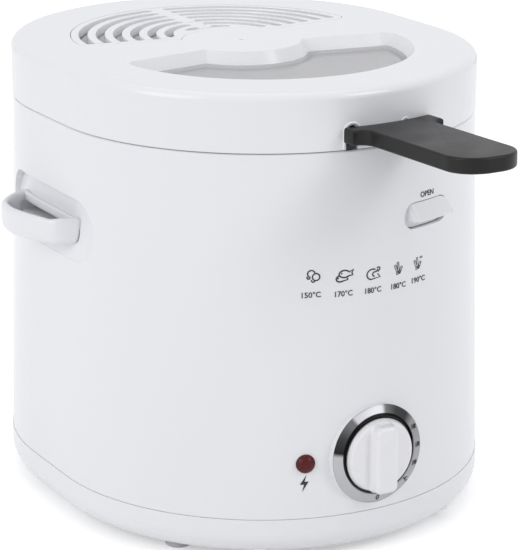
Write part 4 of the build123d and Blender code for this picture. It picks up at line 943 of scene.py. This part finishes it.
def basket_weave_tree():
    """Rings and uprights of round wire on a tapered cup, closed by a floor of rings."""
    tree = bpy.data.node_groups.new("Woven basket", "GeometryNodeTree")
    face = tree.interface
    sizes = {
        "Rim radius": 0.07, "Floor radius": 0.06, "Height": 0.089, "Wall rings": 15,
        "Floor rings": 8, "Uprights": 64, "Wire radius": 0.0005,
    }
    for label, value in sizes.items():
        kind = "NodeSocketInt" if isinstance(value, int) else "NodeSocketFloat"
        face.new_socket(label, in_out="INPUT", socket_type=kind).default_value = value
    face.new_socket("Finish", in_out="INPUT", socket_type="NodeSocketMaterial")
    face.new_socket("Geometry", in_out="OUTPUT", socket_type="NodeSocketGeometry")
    given = tree.nodes.new("NodeGroupInput").outputs

    def ring_set(count, start, end):
        """Circles whose radius and height run from start to end (x is radius, z height)."""
        line = add_node(tree, "GeometryNodeMeshLine", {
            "Count": count, "Start Location": start, "Offset": end,
        }, mode="END_POINTS")
        where = tree.nodes.new("GeometryNodeInputPosition")
        split = add_node(tree, "ShaderNodeSeparateXYZ", {0: where.outputs[0]}).outputs
        keep = add_node(tree, "GeometryNodeStoreNamedAttribute", {
            "Name": "ring_size",
            "Geometry": line.outputs["Mesh"],
            "Value": vector(tree, X=split["X"], Y=split["X"]),
        }, data_type="FLOAT_VECTOR")
        level = add_node(tree, "GeometryNodeSetPosition", {
            "Geometry": keep.outputs["Geometry"], "Position": vector(tree, Z=split["Z"]),
        })
        size = add_node(
            tree, "GeometryNodeInputNamedAttribute", {"Name": "ring_size"},
            data_type="FLOAT_VECTOR",
        )
        circle = add_node(tree, "GeometryNodeCurvePrimitiveCircle", {
            "Resolution": RING_POINTS, "Radius": 1.0,
        })
        return add_node(tree, "GeometryNodeInstanceOnPoints", {
            "Points": level.outputs["Geometry"],
            "Instance": circle.outputs["Curve"],
            "Scale": size.outputs["Attribute"],
        }).outputs["Instances"]

    def wire_run(start, end):
        ends = {"Start": start, "End": end}
        return add_node(tree, "GeometryNodeCurvePrimitiveLine", ends).outputs["Curve"]

    def gathered(*parts):
        join = tree.nodes.new("GeometryNodeJoinGeometry")
        for part in parts:
            tree.links.new(part, join.inputs["Geometry"])
        return join.outputs[0]

    bend_z = maths(tree, "MULTIPLY", given["Height"], CORNER_LIFT)
    rim_at = vector(tree, X=given["Rim radius"], Z=given["Height"])
    wall_at = vector(tree, X=given["Floor radius"], Z=bend_z)
    floor_at = vector(tree, X=maths(tree, "MULTIPLY", given["Floor radius"], CORNER_SHARE))
    hub_at = vector(tree, X=maths(tree, "MULTIPLY", given["Floor radius"], HUB_SHARE))
    wall_rings = ring_set(given["Wall rings"], wall_at, rim_at)
    floor_rings = ring_set(given["Floor rings"], hub_at, floor_at)

    upright = gathered(
        wire_run(rim_at, wall_at), wire_run(wall_at, floor_at), wire_run(floor_at, hub_at)
    )
    spots = add_node(tree, "GeometryNodeMeshLine", {
        "Count": given["Uprights"], "Offset": (0, 0, 0),
    })
    index = tree.nodes.new("GeometryNodeInputIndex").outputs[0]
    share = maths(tree, "DIVIDE", index, given["Uprights"])
    turn = maths(tree, "MULTIPLY", share, 2 * math.pi)
    uprights = add_node(tree, "GeometryNodeInstanceOnPoints", {
        "Points": spots.outputs["Mesh"], "Instance": upright, "Rotation": vector(tree, Z=turn),
    }).outputs["Instances"]

    real = add_node(tree, "GeometryNodeRealizeInstances", {
        "Geometry": gathered(wall_rings, floor_rings, uprights),
    })
    section = add_node(tree, "GeometryNodeCurvePrimitiveCircle", {
        "Resolution": WIRE_SIDES, "Radius": given["Wire radius"],
    })
    wire = add_node(tree, "GeometryNodeCurveToMesh", {
        "Curve": real.outputs[0], "Profile Curve": section.outputs["Curve"], "Fill Caps": True,
    })
    dressed = add_node(tree, "GeometryNodeSetMaterial", {
        "Geometry": wire.outputs["Mesh"], "Material": given["Finish"],
    })
    add_node(tree, "NodeGroupOutput", {"Geometry": dressed.outputs["Geometry"]})
    return tree


def run_tree(tree, values):
    """Runs a Geometry Nodes tree on an empty mesh and gives the plain result."""
    source = in_scene("maker", bpy.data.meshes.new("maker"))
    modifier = source.modifiers.new("tree", "NODES")
    modifier.node_group = tree
    for item in tree.interface.items_tree:
        if item.in_out == "INPUT" and item.name in values:
            modifier[item.identifier] = values[item.name]
    return plain_mesh(source)


WIRE_R = 0.5
RIM_INSET, FLOOR_INSET = 0.6, 0.2     # the weave's radii inside the CAD cup's
WEAVE_INSET_Z = 0.6       # inside the cup's height, at the floor and at the rim
weave = run_tree(basket_weave_tree(), {
    "Rim radius": (BASKET_TOP_R - RIM_INSET) * MM,
    "Floor radius": (BASKET_BOTTOM_R - FLOOR_INSET) * MM,
    "Height": (BASKET_RIM_Z - BASKET_FLOOR_Z - 2 * WEAVE_INSET_Z) * MM,
    "Wire radius": WIRE_R * MM,
    "Finish": basket_metal,
})
moved(weave, Matrix.Translation((0, 0, (BASKET_FLOOR_Z + WEAVE_INSET_Z) * MM)))
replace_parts(add_piece("basket_weave", weave, basket_metal, "body"), "basket_mesh")

# ---------------------------------------------------------------- springs of round wire
COIL_POINTS = 16          # in one turn of wire


def spring(node, wire, turns):
    """Round wire wound along +Y, filling the box of the CAD spring that it stands in for."""
    low, high = box_mm(node)
    middle = (low + high) / 2
    radius = (high.x - low.x - wire) / 2
    count = turns * COIL_POINTS
    points = []
    for i in range(count + 1):
        a = 2 * math.pi * turns * i / count
        y = low.y + wire / 2 + (high.y - low.y - wire) * i / count
        point = Vector((middle.x + radius * math.cos(a), y, middle.z + radius * math.sin(a)))
        points.append(point * MM)
    piece = add_piece(node + "_wire", rod(points, wire / 2 * MM, 2), plated, "body")
    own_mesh(piece)
    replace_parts(piece, node)


spring("button_spring", 0.8, 5)
spring("latch_spring", 0.6, 3)

# ---------------------------------------------------------------- room, light and camera
FLOOR_HALF = 6            # in metres, as the places of the lamps and the camera are
FLOOR_COLOUR = (0.90, 0.90, 0.90, 1)
FLOOR_LIFT = 0.34         # added where the floor is seen, so that it reads white
WORLD_TINT = (0.97, 0.975, 1.0, 1)
WORLD_LIGHT, WORLD_SEEN = 0.66, 1.0
# name, place, what it faces, width and height, watts
SOFTBOXES = (
    ("Left softbox", (-1.7, -0.3, 0.9), (0, 0, 0.12), (1.0, 1.2), 9.5),
    ("Right softbox", (0.9, -1.5, 1.3), (0, 0, 0.12), (0.7, 0.7), 8.0),
    ("Top softbox", (0.1, 0.2, 1.7), (0, 0, 0.1), (1.3, 1.3), 3.4),
)
CAMERA_PLACE = (-0.5708, -1.0011, 0.4611)
CAMERA_DOWN, CAMERA_TURN = 17.19, -29.69        # degrees
CAMERA_LENS, CAMERA_SENSOR = 153.64, 36
CAMERA_SHIFT = 18 / 550


def where_seen(tree):
    """1 for what the camera sees directly, in gloss or through the pane, else 0."""
    rays = tree.nodes.new("ShaderNodeLightPath").outputs
    seen = rays["Is Camera Ray"]
    for kind in ("Is Glossy Ray", "Is Transmission Ray"):
        seen = maths(tree, "MAXIMUM", seen, rays[kind])
    return seen


floor_material, tree, shader = new_material("Pale floor")
set_inputs(tree, shader, {
    "Base Color": FLOOR_COLOUR, "Roughness": 0.8, "Specular IOR Level": 0.1,
})
glow = add_node(tree, "ShaderNodeEmission", {
    "Strength": ranged(tree, where_seen(tree), 0.0, FLOOR_LIFT),
})
both = add_node(tree, "ShaderNodeAddShader", {0: shader.outputs[0], 1: glow.outputs[0]})
set_inputs(tree, tree.nodes["Material Output"], {"Surface": both.outputs[0]})
corners = ((-1, -1), (1, -1), (1, 1), (-1, 1))
floor_mesh = bpy.data.meshes.new("floor")
floor_points = [(x * FLOOR_HALF, y * FLOOR_HALF, 0) for x, y in corners]
floor_mesh.from_pydata(floor_points, [], [(0, 1, 2, 3)])
floor_mesh.materials.append(floor_material)
in_scene("floor", floor_mesh)

world = bpy.data.worlds.new("Studio")
bpy.context.scene.world = world
world.use_nodes = True
tree = world.node_tree
set_inputs(tree, tree.nodes["Background"], {
    "Color": WORLD_TINT,
    "Strength": ranged(tree, where_seen(tree), WORLD_LIGHT, WORLD_SEEN),
})

for name, place, target, size, watts in SOFTBOXES:
    lamp = bpy.data.lights.new(name, "AREA")
    lamp.shape = "RECTANGLE"
    lamp.size, lamp.size_y = size
    lamp.energy = watts
    holder = in_scene(name, lamp)
    holder.location = place
    facing = Vector(target) - Vector(place)
    holder.rotation_euler = facing.to_track_quat("-Z", "Y").to_euler()

camera_data = bpy.data.cameras.new("Camera")
camera_data.lens = CAMERA_LENS
camera_data.sensor_width = CAMERA_SENSOR
camera_data.shift_x = CAMERA_SHIFT
camera = in_scene("Camera", camera_data)
camera.location = CAMERA_PLACE
camera.rotation_euler = (math.radians(90 - CAMERA_DOWN), 0, math.radians(CAMERA_TURN))
bpy.context.scene.camera = camera
bpy.context.scene.view_settings.view_transform = "Standard"
